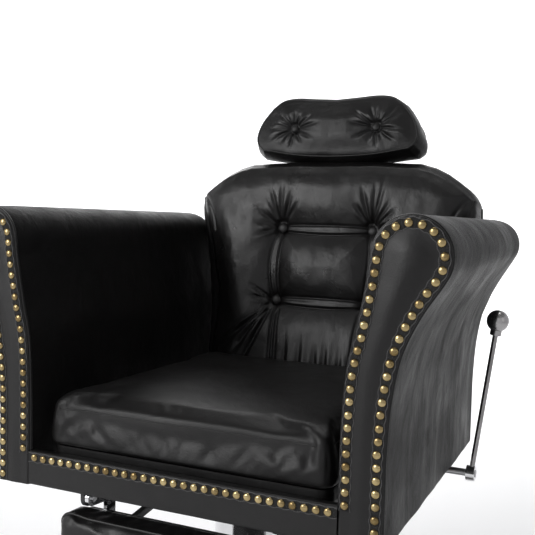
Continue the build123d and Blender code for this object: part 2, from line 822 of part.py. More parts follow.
bar_plane = back_plane(layer_mid + bar_thick / 2)
upright_x = upright_spacing / 2
foot_bar_rise = -back_skirt - bar_width - 2.0
foot_bar_y, foot_bar_z = on_back(foot_bar_rise + bar_width / 2, layer_mid)
post_bar_rise = back_rise - socket_top_gap - socket_length - bar_width
slot_near = lock_drop - lock_pin - slot_play
slot_far = lock_drop / cos(half_sweep) + lock_pin + slot_play
slot_turn = -90 + recline / 2
with BuildPart() as back_frame:
    with BuildSketch(bar_plane):
        for side in (1, -1):
            with Locations((side * upright_x, (foot_bar_rise + back_wing_rise) / 2)):
                Rectangle(bar_width, back_wing_rise - foot_bar_rise)
        for rise, half in ((foot_bar_rise, side_x + plate_thick), (post_bar_rise, upright_x)):
            with Locations((0, rise + bar_width / 2)):
                Rectangle(2 * half, bar_width)
    extrude(amount=bar_thick)
    for side in (1, -1):
        with BuildSketch(side_plane(side * side_x)):
            slot_hull([(foot_bar_y, foot_bar_z, 11), (pivot_y, pivot_z, eye_radius - 2)])
        extrude(amount=side * plate_thick)
    link_lug_x = link_x - link_radius - 1.0
    with BuildSketch(side_plane(link_lug_x)):
        slot_hull(
            [(foot_bar_y, foot_bar_z, 11), (pivot_y + crank_y, pivot_z + crank_z, link_eye)]
        )
    extrude(amount=-plate_thick)
    lock_dir = (cos(radians(slot_turn)), sin(radians(slot_turn)))
    with BuildSketch(side_plane(lock_x - crank_plate / 2)):
        slot_hull(
            [
                (foot_bar_y, foot_bar_z, 11),
                (pivot_y + lock_dir[0] * slot_near * 0.9, pivot_z + lock_dir[1] * slot_near * 0.9, 12),
                (pivot_y + lock_dir[0] * slot_far, pivot_z + lock_dir[1] * slot_far, 11),
            ]
        )
        slot_mid = (slot_near + slot_far) / 2
        with Locations((pivot_y + lock_dir[0] * slot_mid, pivot_z + lock_dir[1] * slot_mid)):
            slot_width = 2 * (lock_pin + slot_play)
            SlotOverall(slot_far - slot_near + 6, slot_width, rotation=slot_turn, mode=Mode.SUBTRACT)
    extrude(amount=crank_plate)
    with BuildSketch(side_plane(-side_x - plate_thick)):
        with Locations((pivot_y, pivot_z)):
            Circle(pin_radius + running)
    extrude(amount=2 * (side_x + plate_thick), mode=Mode.SUBTRACT)
    with BuildSketch(side_plane(link_lug_x)):
        with Locations((pivot_y + crank_y, pivot_z + crank_z)):
            Circle(link_pin)
    extrude(amount=2 * link_radius + 4)
save(back_frame.part, "back_frame")

socket_outer = post_radius + running + socket_wall
with BuildPart() as post_sockets:
    base = back_plane(layer_mid)
    socket_plane = Plane(
        origin=base.from_local_coords((0, post_bar_rise + bar_width, 0)),
        x_dir=(1, 0, 0),
        z_dir=base.y_dir,
    )
    with BuildSketch(socket_plane):
        with Locations((post_half, 0), (-post_half, 0)):
            Circle(socket_outer)
            Circle(post_radius + running, mode=Mode.SUBTRACT)
    extrude(amount=socket_length)
    with BuildSketch(socket_plane.offset(socket_length)):
        with Locations((post_half, 0), (-post_half, 0)):
            Circle(collar_radius)
            Circle(post_radius + running, mode=Mode.SUBTRACT)
    extrude(amount=collar_height)
save(post_sockets.part, "post_sockets")

# ---------------------------------------------------------------- headrest
def head_outline(inset=0.0):
    """Outline of the headrest in the back's plane: wavy top, rounded ends, sagging foot."""
    half = head_half - inset
    top = head_top - inset
    foot = head_bottom + inset
    with BuildLine() as outline:
        Spline(
            (-half + 15, foot + 14),
            (0, foot),
            (half - 15, foot + 14),
        )
        for side in (1, -1):
            Spline(
                (side * (half - 15), foot + 14),
                (side * half, foot + 52),
                (side * (half - 32), top - 16),
                (side * (half - 80), top),
                (0, top - 5),
            )
    make_face(outline.edges())


with BuildPart() as head_cushion:
    with BuildSketch(back_plane(0)):
        head_outline()
    extrude(amount=-head_pad)
save(head_cushion.part, "head_cushion")

with BuildPart() as head_board:
    with BuildSketch(back_plane(head_pad + gap)):
        head_outline(inset=head_board_inset)
    extrude(amount=-head_board_thick)
    board_post = socket_plane.offset(socket_length + socket_top_gap)
    with BuildSketch(board_post):
        with Locations((post_half, 0), (-post_half, 0)):
            Circle(post_radius)
    extrude(amount=head_bottom - back_rise + post_into_board, mode=Mode.SUBTRACT)
save(head_board.part, "head_board")

with BuildPart() as head_posts:
    with BuildSketch(socket_plane.offset(post_tail)):
        with Locations((post_half, 0), (-post_half, 0)):
            Circle(post_radius)
    extrude(amount=socket_length + socket_top_gap - post_tail + head_bottom - back_rise + post_into_board)
save(head_posts.part, "head_posts")

with BuildPart() as head_buttons:
    for side in (1, -1):
        with Locations(back_plane(0) * Location((side * head_button_half, head_button_rise, 0))):
            add(button_shape(head_button_radius, button_height))
save(head_buttons.part, "head_buttons")

# ---------------------------------------------------------------- recline lock
lock_pin_y = pivot_y + lock_reach
barrel_front_y = lock_rear_y - lock_length
with BuildPart() as lock_barrel:
    with BuildSketch(facing(lock_rear_y)):
        with Locations((lock_x, lock_z)):
            Circle(lock_bore + lock_wall)
    extrude(amount=lock_length)
    with BuildSketch(facing(lock_rear_y - lock_end)):
        with Locations((lock_x, lock_z)):
            Circle(lock_bore)
    extrude(amount=lock_length - 2 * lock_end, mode=Mode.SUBTRACT)
    with BuildSketch(facing(lock_rear_y)):
        with Locations((lock_x, lock_z)):
            Circle(lock_rod_radius + running)
    extrude(amount=10, mode=Mode.SUBTRACT)
save(lock_barrel.part, "lock_barrel")

with BuildPart() as lock_clamps:
    for y in (-cross_y, cross_y):
        with BuildSketch(facing(y + clamp_width / 2)):
            with Locations((lock_x, (lock_z - 16 + frame_foot_z) / 2)):
                Rectangle(36, frame_foot_z - lock_z + 16)
            with Locations((lock_x, lock_z)):
                Circle(clamp_radius)
                Circle(lock_bore + lock_wall, mode=Mode.SUBTRACT)
        extrude(amount=clamp_width)
save(lock_clamps.part, "lock_clamps")

piston_y = lock_rear_y - 12.0
with BuildPart() as lock_rod:
    with BuildSketch(facing(piston_y)):
        with Locations((lock_x, lock_z)):
            Circle(lock_bore - running)
    extrude(amount=lock_piston)
    with BuildSketch(facing(lock_pin_y - fork_reach)):
        with Locations((lock_x, lock_z)):
            Circle(lock_rod_radius)
    extrude(amount=lock_pin_y - fork_reach - piston_y)
    fork_half = crank_plate / 2 + 1 + cheek
    with BuildSketch(facing(lock_pin_y - fork_reach)):
        with Locations((lock_x, lock_z)):
            Rectangle(2 * fork_half, 16)
    extrude(amount=8)
    with BuildSketch(side_plane(lock_x - fork_half)):
        with Locations((lock_pin_y - fork_reach / 2, lock_z)):
            Rectangle(fork_reach, 16)
        with Locations((lock_pin_y, lock_z)):
            Circle(8)
    extrude(amount=2 * fork_half)
    with BuildSketch(side_plane(lock_x - crank_plate / 2 - 1)):
        with Locations((lock_pin_y - fork_reach / 2 + 10, lock_z)):
            Rectangle(fork_reach + 20, 30)
    extrude(amount=crank_plate + 2, mode=Mode.SUBTRACT)
    with BuildSketch(side_plane(lock_x - fork_half)):
        with Locations((lock_pin_y, lock_z)):
            Circle(lock_pin)
    extrude(amount=2 * fork_half, mode=Mode.SUBTRACT)
save(lock_rod.part, "lock_rod")

with BuildPart() as lock_cross_pin:
    with BuildSketch(side_plane(lock_x - fork_half - 2)):
        with Locations((lock_pin_y, lock_z)):
            Circle(lock_pin)
    extrude(amount=2 * fork_half + 4)
save(lock_cross_pin.part, "lock_cross_pin")

# ---------------------------------------------------------------- recline lever
bearing_xs = (rail_x, core_x)
with BuildPart() as lever_bearings:
    for x, top in ((bearing_xs[0], frame_foot_z), (bearing_xs[1], arm_foot_z)):
        with BuildSketch(side_plane(x - plate_thick / 2)):
            with Locations((lever_y, (top + lever_z) / 2)):
                Rectangle(2 * bearing_radius, top - lever_z)
            with Locations((lever_y, lever_z)):
                Circle(bearing_radius)
                Circle(lever_shaft_radius + running, mode=Mode.SUBTRACT)
        extrude(amount=plate_thick)
save(lever_bearings.part, "lever_bearings")

shaft_inner_x = lock_x + lock_bore + lock_wall + 3.0
with BuildPart() as lever_shaft:
    with BuildSketch(side_plane(shaft_inner_x)):
        with Locations((lever_y, lever_z)):
            Circle(lever_shaft_radius)
    extrude(amount=lever_hub_x + 8 - shaft_inner_x)
    with BuildSketch(side_plane(shaft_inner_x)):
        slot_hull([(lever_y, lever_z, 10), (lever_y - 14, lever_z + 12, 5)])
    extrude(amount=plate_thick)
save(lever_shaft.part, "lever_shaft")

with BuildPart() as lever_hub:
    with BuildSketch(side_plane(lever_hub_x - lever_hub_width / 2)):
        with Locations((lever_y, lever_z)):
            Circle(lever_hub_radius)
            Circle(lever_shaft_radius, mode=Mode.SUBTRACT)
    extrude(amount=lever_hub_width)
save(lever_hub.part, "lever_hub")

ball_z = seat_top_z + lever_ball_rise
ball_x = lever_hub_x + lever_lean
lever_lean_angle = atan2(lever_lean, ball_z - lever_z)
lever_reach = hypot(lever_lean, ball_z - lever_z)
lever_line = Plane(
    origin=(lever_hub_x, lever_y, lever_z),
    x_dir=(cos(lever_lean_angle), 0, -sin(lever_lean_angle)),
    z_dir=(sin(lever_lean_angle), 0, cos(lever_lean_angle)),
)
with BuildPart() as lever_rod:
    with BuildSketch(lever_line.offset(rod_start)):
        Circle(lever_rod_radius)
    extrude(amount=lever_reach - rod_start - lever_ball_radius / 2)
save(lever_rod.part, "lever_rod")

with BuildPart() as lever_ball:
    with BuildSketch(Plane.XZ):
        with BuildLine():
            ThreePointArc((0, lever_ball_radius), (lever_ball_radius, 0), (0, -lever_ball_radius))
            Line((0, -lever_ball_radius), (0, lever_ball_radius))
        make_face()
        with Locations((lever_ball_radius * 0.4 / 2 + 1, -lever_ball_radius - 1)):
            Rectangle(lever_ball_radius * 0.4 + 2, 10)
        split(bisect_by=Plane.YZ)
    revolve(axis=Axis.Z)
    with BuildSketch(Plane.XY.offset(-lever_ball_radius - 8)):
        Circle(lever_rod_radius)
    extrude(amount=lever_ball_radius * 0.5 + 8, mode=Mode.SUBTRACT)
save(lever_line.offset(lever_reach).location * lever_ball.part, "lever_ball")

# ---------------------------------------------------------------- leg rest
pad_front_y = arm_front_y
pad_rear_y = pad_front_y + leg_pad_thick
bar_y = pad_rear_y + gap + leg_board + gap + leg_bar_width / 2
bracket_x = leg_bar_half + plate_thick / 2 + 1.0
with BuildPart() as leg_brackets:
    for side in (1, -1):
        with BuildSketch(side_plane(side * bracket_x)):
            with Locations((leg_y, leg_pivot_z)):
                Circle(13)
            with Locations((leg_y + 14, (leg_pivot_z + frame_foot_z) / 2)):
                Rectangle(54, frame_foot_z - leg_pivot_z)
            with Locations((leg_y, leg_pivot_z)):
                Circle(leg_pin, mode=Mode.SUBTRACT)
        extrude(amount=side * plate_thick)
save(leg_brackets.part, "leg_brackets")

with BuildPart() as leg_pins:
    for side in (1, -1):
        with BuildSketch(side_plane(side * (leg_bar_half - plate_thick / 2 - 3))):
            with Locations((leg_y, leg_pivot_z)):
                Circle(leg_pin)
        extrude(amount=side * (2 * plate_thick + 7))
save(leg_pins.part, "leg_pins")

lug_y = leg_y + crank_y
lug_z = leg_pivot_z + crank_z
with BuildPart() as leg_frame:
    for side in (1, -1):
        with BuildSketch(side_plane(side * (leg_bar_half - plate_thick / 2))):
            slot_hull(
                [
                    (leg_y, leg_pivot_z, 12),
                    (bar_y, leg_pivot_z - 4, 11),
                    (bar_y, foot_z + 11, 11),
                ]
            )
            with Locations((leg_y, leg_pivot_z)):
                Circle(leg_pin + running, mode=Mode.SUBTRACT)
        extrude(amount=side * plate_thick)
    for z in (lug_z - lug_drop, foot_z + 8):
        with BuildSketch(side_plane(-leg_bar_half)):
            with Locations((bar_y, z)):
                Circle(8)
        extrude(amount=2 * leg_bar_half)
    with BuildSketch(side_plane(link_lug_x)):
        slot_hull([(bar_y, lug_z - lug_drop, 8), (lug_y, lug_z, link_eye - 2)])
    extrude(amount=-plate_thick)
    with BuildSketch(side_plane(link_lug_x)):
        with Locations((lug_y, lug_z)):
            Circle(link_pin)
    extrude(amount=2 * link_radius + 4)
save(leg_frame.part, "leg_frame")

with BuildPart() as leg_board_panel:
    with BuildSketch(facing(pad_rear_y + gap)):
        with Locations((0, (pad_top_z + pad_foot_z) / 2)):
            RectangleRounded(leg_pad_width - 10, leg_pad_height - 10, leg_pad_corner - 5)
    extrude(amount=-leg_board)
save(leg_board_panel.part, "leg_board")

with BuildPart() as leg_cushion:
    with BuildSketch(facing(pad_front_y)):
        with Locations((0, (pad_top_z + pad_foot_z) / 2)):
            RectangleRounded(leg_pad_width, leg_pad_height, leg_pad_corner)
    extrude(amount=-leg_pad_thick)
    fillet(leg_cushion.edges().group_by(Axis.Y)[0], leg_pad_round)
save(leg_cushion.part, "leg_cushion")

foot_rear_y = bar_y + 11
with BuildPart() as foot_plate:
    with BuildSketch(Plane.XY.offset(foot_z - foot_thick)):
        with Locations((0, foot_rear_y - foot_depth / 2)):
            RectangleRounded(foot_width + 30, foot_depth, foot_corner)
    extrude(amount=foot_thick)
save(foot_plate.part, "foot_plate")

with BuildPart() as foot_tread:
    tread_depth = foot_depth - 36.0
    tread_mid = foot_rear_y - foot_depth + 8 + tread_depth / 2
    with BuildSketch(Plane.XY.offset(foot_z)):
        with Locations((0, tread_mid)):
            RectangleRounded(foot_width - 10, tread_depth, 10)
    extrude(amount=tread_thick - 2)
    with BuildSketch(Plane.XY.offset(foot_z + tread_thick - 2)):
        with Locations((0, tread_mid)):
            with GridLocations(1, 9, 1, 8):
                Rectangle(foot_width - 34, 4)
    extrude(amount=2)
save(foot_tread.part, "foot_tread")

# ---------------------------------------------------------------- link from the back's crank to the leg rest
link_run = hypot(pivot_y - leg_y, pivot_z - leg_pivot_z)
link_turn = degrees(atan2(leg_pivot_z - pivot_z, leg_y - pivot_y))
link_plane = Plane(
    origin=(link_x, pivot_y + crank_y, pivot_z + crank_z),
    x_dir=(0, cos(radians(link_turn)), sin(radians(link_turn))),
    z_dir=(1, 0, 0),
)
with BuildPart() as leg_link:
    with BuildSketch(link_plane.offset(-link_radius)):
        Circle(link_eye)
        with Locations((link_run, 0)):
            Circle(link_eye - 2)
        with Locations((link_run / 2, 0)):
            Rectangle(link_run, 2 * link_radius)
        Circle(link_pin + running, mode=Mode.SUBTRACT)
        with Locations((link_run, 0)):
            Circle(link_pin + open_pivot_play, mode=Mode.SUBTRACT)
    extrude(amount=2 * link_radius)
save(leg_link.part, "leg_link")
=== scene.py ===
"""Looks of the hydraulic barber chair: black buttoned leather, brass nails, chrome base and lever.

Metres, in the CAD frame: +Z up, the sitter faces -Y and the sitter's left hand is at +X.
"""

import json
import math

import bmesh
import bpy
import numpy as np
from mathutils import Matrix, Vector, noise
from mathutils.bvhtree import BVHTree


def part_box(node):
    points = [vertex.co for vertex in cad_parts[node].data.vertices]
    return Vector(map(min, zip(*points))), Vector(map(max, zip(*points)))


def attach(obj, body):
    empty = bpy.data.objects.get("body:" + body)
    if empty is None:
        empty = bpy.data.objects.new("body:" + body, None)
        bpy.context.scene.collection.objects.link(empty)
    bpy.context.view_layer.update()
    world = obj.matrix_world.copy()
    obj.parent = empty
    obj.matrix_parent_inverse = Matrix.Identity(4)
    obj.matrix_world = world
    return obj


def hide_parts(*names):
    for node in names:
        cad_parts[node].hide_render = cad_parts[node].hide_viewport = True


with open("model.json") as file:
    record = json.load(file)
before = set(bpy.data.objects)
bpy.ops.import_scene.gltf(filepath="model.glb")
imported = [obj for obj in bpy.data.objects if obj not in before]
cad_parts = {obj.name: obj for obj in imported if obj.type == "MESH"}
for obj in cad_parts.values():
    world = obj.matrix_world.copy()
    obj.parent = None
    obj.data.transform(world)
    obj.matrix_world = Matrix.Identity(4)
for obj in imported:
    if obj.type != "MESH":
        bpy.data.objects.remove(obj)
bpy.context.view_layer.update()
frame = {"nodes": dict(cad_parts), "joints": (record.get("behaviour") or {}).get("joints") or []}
nodes = frame["nodes"]
MM = 0.001


# ---------------------------------------------------------------- places taken from the frame
seat_lo, seat_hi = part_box("seat_cushion")
panel_lo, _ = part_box("arm_panel_left")
_, arm_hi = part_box("arm_left")
apron_lo, apron_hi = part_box("front_apron")
joints = {j["name"]: j for j in frame["joints"]}
SEAT_TOP = seat_hi.z
INNER_X = panel_lo.x
FRONT_Y = panel_lo.y
REAR_Y = arm_hi.y
FOOT_Z = panel_lo.z
ARM_DROP = SEAT_TOP - FOOT_Z
slide = Vector(joints["headrest_slide"]["axis"])
LEAN_S, LEAN_C = slide.y, slide.z
BACK_Y = joints["recline"]["pos_m"][1] - 28 * MM


def on_back(u, v, d):
    """Row-frame points on the leaning back: u across, v up the back, d behind its front, arrays in metres."""
    u, v, d = np.broadcast_arrays(u, v, d)
    y = BACK_Y + v * LEAN_S + d * LEAN_C
    z = SEAT_TOP + v * LEAN_C - d * LEAN_S
    return np.stack([u, y, z], -1)


def on_back_mm(u, v, d):
    """The same with u, v and d in mm."""
    return on_back(u * MM, v * MM, d * MM)


# ---------------------------------------------------------------- mesh helpers
def new_object(name, verts, faces):
    """Smooth-shaded mesh object at the origin."""
    mesh = bpy.data.meshes.new(name)
    mesh.from_pydata([tuple(map(float, p)) for p in verts], [], [tuple(map(int, f)) for f in faces])
    mesh.validate()
    mesh.update()
    obj = bpy.data.objects.new(name, mesh)
    bpy.context.scene.collection.objects.link(obj)
    mesh.polygons.foreach_set("use_smooth", [True] * len(mesh.polygons))
    return obj


def grid_faces(rows, cols, close_rows=False, close_cols=False, base=0):
    """Quads of a grid of rows x cols vertices, wrapped round where it closes."""
    r = np.arange(rows if close_rows else rows - 1)
    c = np.arange(cols if close_cols else cols - 1)
    rr, cc = np.meshgrid(r, c, indexing="ij")
    r1, c1 = (rr + 1) % rows, (cc + 1) % cols
    quads = np.stack([rr * cols + cc, rr * cols + c1, r1 * cols + c1, r1 * cols + cc], -1)
    return (quads.reshape(-1, 4) + base).tolist()


def outward(obj):
    """Faces turned to the outside."""
    bm = bmesh.new()
    bm.from_mesh(obj.data)
    bmesh.ops.recalc_face_normals(bm, faces=bm.faces)
    bm.to_mesh(obj.data)
    bm.free()
    return obj


def sheet_object(name, points, close_rows=False, close_cols=False, caps=()):
    """Object from a rows x cols x 3 array of points; caps lists end rows to fill with a fan."""
    rows, cols = points.shape[:2]
    verts = points.reshape(-1, 3).tolist()
    faces = grid_faces(rows, cols, close_rows, close_cols)
    for end in caps:
        row = 0 if end == "first" else rows - 1
        centre = points[row].mean(0)
        verts.append(centre.tolist())
        hub = len(verts) - 1
        faces += [(row * cols + c, row * cols + (c + 1) % cols, hub) for c in range(cols)]
    return outward(new_object(name, verts, faces))


def run_of(path):
    """Length along the path at each of its points."""
    return np.r_[0, np.cumsum(np.linalg.norm(np.diff(path, axis=0), axis=1))]


def resample(points, count, closed=False):
    """The polyline's points spaced evenly."""
    pts = np.asarray(points, float)
    if closed:
        pts = np.vstack([pts, pts[:1]])
    run = run_of(pts)
    at = np.linspace(0, run[-1], count, endpoint=not closed)
    return np.stack([np.interp(at, run, pts[:, k]) for k in range(pts.shape[1])], -1)


def smooth_line(points, per):
    """Centripetal Catmull-Rom curve through the points."""
    pts = np.asarray(points, float)
    pts = np.vstack([2 * pts[0] - pts[1], pts, 2 * pts[-1] - pts[-2]])
    out = []
    for i in range(1, len(pts) - 2):
        p = pts[i - 1 : i + 3]
        t = np.r_[0, np.cumsum(np.sqrt(np.linalg.norm(np.diff(p, axis=0), axis=1)) + 1e-9)]
        for x in np.linspace(t[1], t[2], per, endpoint=False):
            a = [p[k] + (p[k + 1] - p[k]) * (x - t[k]) / (t[k + 1] - t[k]) for k in range(3)]
            b = [a[k] + (a[k + 1] - a[k]) * (x - t[k]) / (t[k + 2] - t[k]) for k in range(2)]
            out.append(b[0] + (b[1] - b[0]) * (x - t[1]) / (t[2] - t[1]))
    out.append(pts[-2])
    return np.array(out)


def normals_2d(path):
    """Left-hand normals of a path in its plane."""
    step = np.gradient(path, axis=0)
    step /= np.linalg.norm(step, axis=1)[:, None] + 1e-12
    return np.stack([-step[:, 1], step[:, 0]], -1)


def tube(name, path, radius, sides=10, closed=False, up=(0, 0, 1)):
    """Round cord along a path of points."""
    path = np.asarray(path, float)
    step = np.roll(path, -1, 0) - np.roll(path, 1, 0) if closed else np.gradient(path, axis=0)
    step /= np.linalg.norm(step, axis=1)[:, None] + 1e-12
    side = np.cross(step, np.array(up, float))
    weak = np.linalg.norm(side, axis=1) < 1e-3
    side[weak] = np.cross(step[weak], np.array([1.0, 0.3, 0.2]))
    side /= np.linalg.norm(side, axis=1)[:, None]
    lift = np.cross(side, step)
    turn = np.linspace(0, 2 * math.pi, sides, endpoint=False)
    radius = np.broadcast_to(np.asarray(radius, float), (len(path),))[:, None, None]
    ring = side[:, None] * np.cos(turn)[None, :, None] + lift[:, None] * np.sin(turn)[None, :, None]
    points = path[:, None] + radius * ring
    caps = () if closed else ("first", "last")
    return sheet_object(name, points, close_rows=closed, close_cols=True, caps=caps)


def join(name, objects):
    """One object from several, keeping their meshes' places."""
    bm = bmesh.new()
    for obj in objects:
        obj.data.transform(obj.matrix_world)
        bm.from_mesh(obj.data)
        bpy.data.objects.remove(obj)
    mesh = bpy.data.meshes.new(name)
    bm.to_mesh(mesh)
    bm.free()
    out = bpy.data.objects.new(name, mesh)
    bpy.context.scene.collection.objects.link(out)
    return out


def copies(name, shape_verts, shape_faces, places):
    """One mesh of many copies of a small shape; places are 3x3 frames with origins."""
    verts = np.asarray(shape_verts, float)
    all_verts, all_faces = [], []
    for basis, origin in places:
        start = len(all_verts) * len(verts)
        all_verts.append(verts @ np.asarray(basis, float).T + np.asarray(origin, float))
        all_faces += [tuple(i + start for i in f) for f in shape_faces]
    return outward(new_object(name, np.concatenate(all_verts), all_faces))


def noise_field(points, scale, seed=0.0):
    """Smooth noise at each point, about -1 to 1."""
    flat = np.asarray(points, float).reshape(-1, 3) * np.asarray(scale, float) + seed
    return np.array([noise.noise(Vector(p)) for p in flat]).reshape(np.shape(points)[:-1])


def field(u, v, scale, seed):
    """Smooth noise over a flat face in mm."""
    return noise_field(np.stack([u, v, 0 * u], -1), (*scale, 1), seed)


def smoothstep(x):
    """0 to 1 with flat ends."""
    x = np.clip(x, 0, 1)
    return x * x * (3 - 2 * x)


def rounding(inside, radius):
    """How far a rolled edge falls away at a distance inside it."""
    return radius - np.sqrt(np.clip(radius**2 - (radius - np.clip(inside, 0, radius)) ** 2, 0, None))


def border_loop(rows, cols):
    """Row and column of each point round the edge of a grid: foot, right side, top, left side."""
    loop = [(0, c) for c in range(cols)] + [(r, cols - 1) for r in range(1, rows)]
    loop += [(rows - 1, c) for c in range(cols - 2, -1, -1)] + [(r, 0) for r in range(rows - 2, 0, -1)]
    return np.array(loop).T


def closed_shell(name, face, rings, ri, ci):
    """A face of points, rings carried back from its border, and a flat back."""
    rows, cols = face.shape[:2]
    count, steps = len(ri), len(rings)
    start = rows * cols
    verts = np.vstack([face.reshape(-1, 3), *rings, rings[-1].mean(0)[None]])
    first = (ri * cols + ci).tolist()
    faces = grid_faces(rows, cols)
    faces += [(first[k], first[(k + 1) % count], start + (k + 1) % count, start + k) for k in range(count)]
    faces += grid_faces(steps, count, close_cols=True, base=start)
    last = start + (steps - 1) * count
    faces += [(last + k, last + (k + 1) % count, len(verts) - 1) for k in range(count)]
    return outward(new_object(name, verts, faces))


def finish_piece(obj, body, material, replaces=()):
    """What every new piece needs: its material, its body and what it stands for."""
    obj.data.materials.clear()
    obj.data.materials.append(material)
    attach(obj, body)
    if replaces:
        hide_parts(*replaces)
    return obj


def welt(name, line, radius, body, sides=10, up=(0, 1, 0)):
    """Sewn cord round a closed seam."""
    cord = tube(name, line, radius, sides=sides, closed=True, up=up)
    return finish_piece(cord, body, welt_leather)


# ---------------------------------------------------------------- materials
def shader(name):
    """New material, its node tree and its main shader."""
    mat = bpy.data.materials.new(name)
    mat.use_nodes = True
    tree = mat.node_tree
    return mat, tree, tree.nodes["Principled BSDF"]


def place_noise(tree, kind, scale, detail=3.0, stretch=(1, 1, 1), **values):
    """A texture node read in object space."""
    coords = tree.nodes.new("ShaderNodeTexCoord")
    mapping = tree.nodes.new("ShaderNodeMapping")
    mapping.inputs["Scale"].default_value = stretch
    tree.links.new(coords.outputs["Object"], mapping.inputs["Vector"])
    tex = tree.nodes.new(kind)
    tex.inputs["Scale"].default_value = scale
    if "Detail" in tex.inputs:
        tex.inputs["Detail"].default_value = detail
    for key, value in values.items():
        tex.inputs[key].default_value = value
    tree.links.new(mapping.outputs["Vector"], tex.inputs["Vector"])
    return tex


def ramp(tree, source, low, high, a, b):
    """Colour ramp from a to b between two values of the source."""
    node = tree.nodes.new("ShaderNodeValToRGB")
    node.color_ramp.elements[0].position = low
    node.color_ramp.elements[1].position = high
    node.color_ramp.elements[0].color = (*a, 1) if hasattr(a, "__len__") else (a, a, a, 1)
    node.color_ramp.elements[1].color = (*b, 1) if hasattr(b, "__len__") else (b, b, b, 1)
    tree.links.new(source, node.inputs["Fac"])
    return node.outputs["Color"]


def feed(tree, texture, low, high, a, b, socket):
    """The texture's value as a ramp from a to b into a socket of the main shader."""
    main = tree.nodes["Principled BSDF"]
    tree.links.new(ramp(tree, texture.outputs["Fac"], low, high, a, b), main.inputs[socket])


def bump(tree, height, distance, strength, normal=None):
    """Relief of a height, laid over a normal if one is given."""
    node = tree.nodes.new("ShaderNodeBump")
    node.inputs["Distance"].default_value = distance
    node.inputs["Strength"].default_value = strength
    tree.links.new(height, node.inputs["Height"])
    if normal:
        tree.links.new(normal, node.inputs["Normal"])
    return node.outputs["Normal"]


def leather(name, dark, light, rough=(0.24, 0.44), crease=0.5, ior=1.38, coat=0.06):
    """Semi-gloss upholstery leather: fine pebbled grain, soft creasing, uneven polish."""
    mat, tree, bsdf = shader(name)
    tint = place_noise(tree, "ShaderNodeTexNoise", 6.0, 4.0)
    feed(tree, tint, 0.3, 0.75, dark, light, "Base Color")
    polish = place_noise(tree, "ShaderNodeTexNoise", 11.0, 7.0, Distortion=0.5)
    feed(tree, polish, 0.3, 0.7, rough[0], rough[1], "Roughness")
    folds = place_noise(tree, "ShaderNodeTexNoise", 38.0, 4.0, stretch=(1.0, 1.0, 0.55), Distortion=0.6)
    grain = place_noise(tree, "ShaderNodeTexVoronoi", 820.0)
    pores = place_noise(tree, "ShaderNodeTexNoise", 260.0, 3.0)
    waves = place_noise(tree, "ShaderNodeTexNoise", 15.0, 3.0, Distortion=0.8)
    normal = bump(tree, waves.outputs["Fac"], 0.0038, crease)
    normal = bump(tree, folds.outputs["Fac"], 0.0022, crease, normal)
    normal = bump(tree, pores.outputs["Fac"], 0.0004, 0.5, normal)
    normal = bump(tree, grain.outputs["Distance"], 0.00022, 0.55, normal)
    tree.links.new(normal, bsdf.inputs["Normal"])
    bsdf.inputs["IOR"].default_value = ior
    bsdf.inputs["Coat Weight"].default_value = coat
    bsdf.inputs["Coat Roughness"].default_value = 0.32
    return mat


def metal(name, colour, rough, brushed=0.0, worn=None):
    """Plated or bare metal with faint smudges; brushed adds fine lines."""
    mat, tree, bsdf = shader(name)
    bsdf.inputs["Metallic"].default_value = 1.0
    smudge = place_noise(tree, "ShaderNodeTexNoise", 30.0, 5.0)
    dark = worn or tuple(c * 0.86 for c in colour)
    feed(tree, smudge, 0.35, 0.65, dark, colour, "Base Color")
    feed(tree, smudge, 0.3, 0.7, rough * 1.35, rough, "Roughness")
    if brushed:
        lines = place_noise(tree, "ShaderNodeTexNoise", 400.0, 2.0, stretch=(1, 0.03, 1))
        tree.links.new(bump(tree, lines.outputs["Fac"], 0.0002, brushed), bsdf.inputs["Normal"])
    return mat


def coating(name, colour, rough, texture=900.0, depth=0.3):
    """Powder coat or moulded rubber: even colour with a fine orange-peel surface."""
    mat, tree, bsdf = shader(name)
    dust = place_noise(tree, "ShaderNodeTexNoise", 9.0, 5.0)
    light = tuple(c * 1.35 + 0.004 for c in colour)
    feed(tree, dust, 0.35, 0.75, colour, light, "Base Color")
    feed(tree, dust, 0.3, 0.7, rough, min(rough * 1.25, 1), "Roughness")
    peel = place_noise(tree, "ShaderNodeTexNoise", texture, 2.0)
    tree.links.new(bump(tree, peel.outputs["Fac"], 0.0003, depth), bsdf.inputs["Normal"])
    return mat


def plywood(name):
    """Plywood: warm grain lines with ply layers."""
    mat, tree, bsdf = shader(name)
    lines = place_noise(tree, "ShaderNodeTexNoise", 30.0, 6.0, stretch=(1, 0.08, 6), Distortion=0.8)
    feed(tree, lines, 0.35, 0.7, (0.30, 0.19, 0.10), (0.56, 0.40, 0.24), "Base Color")
    bsdf.inputs["Roughness"].default_value = 0.7
    tree.links.new(bump(tree, lines.outputs["Fac"], 0.0004, 0.4), bsdf.inputs["Normal"])
    return mat


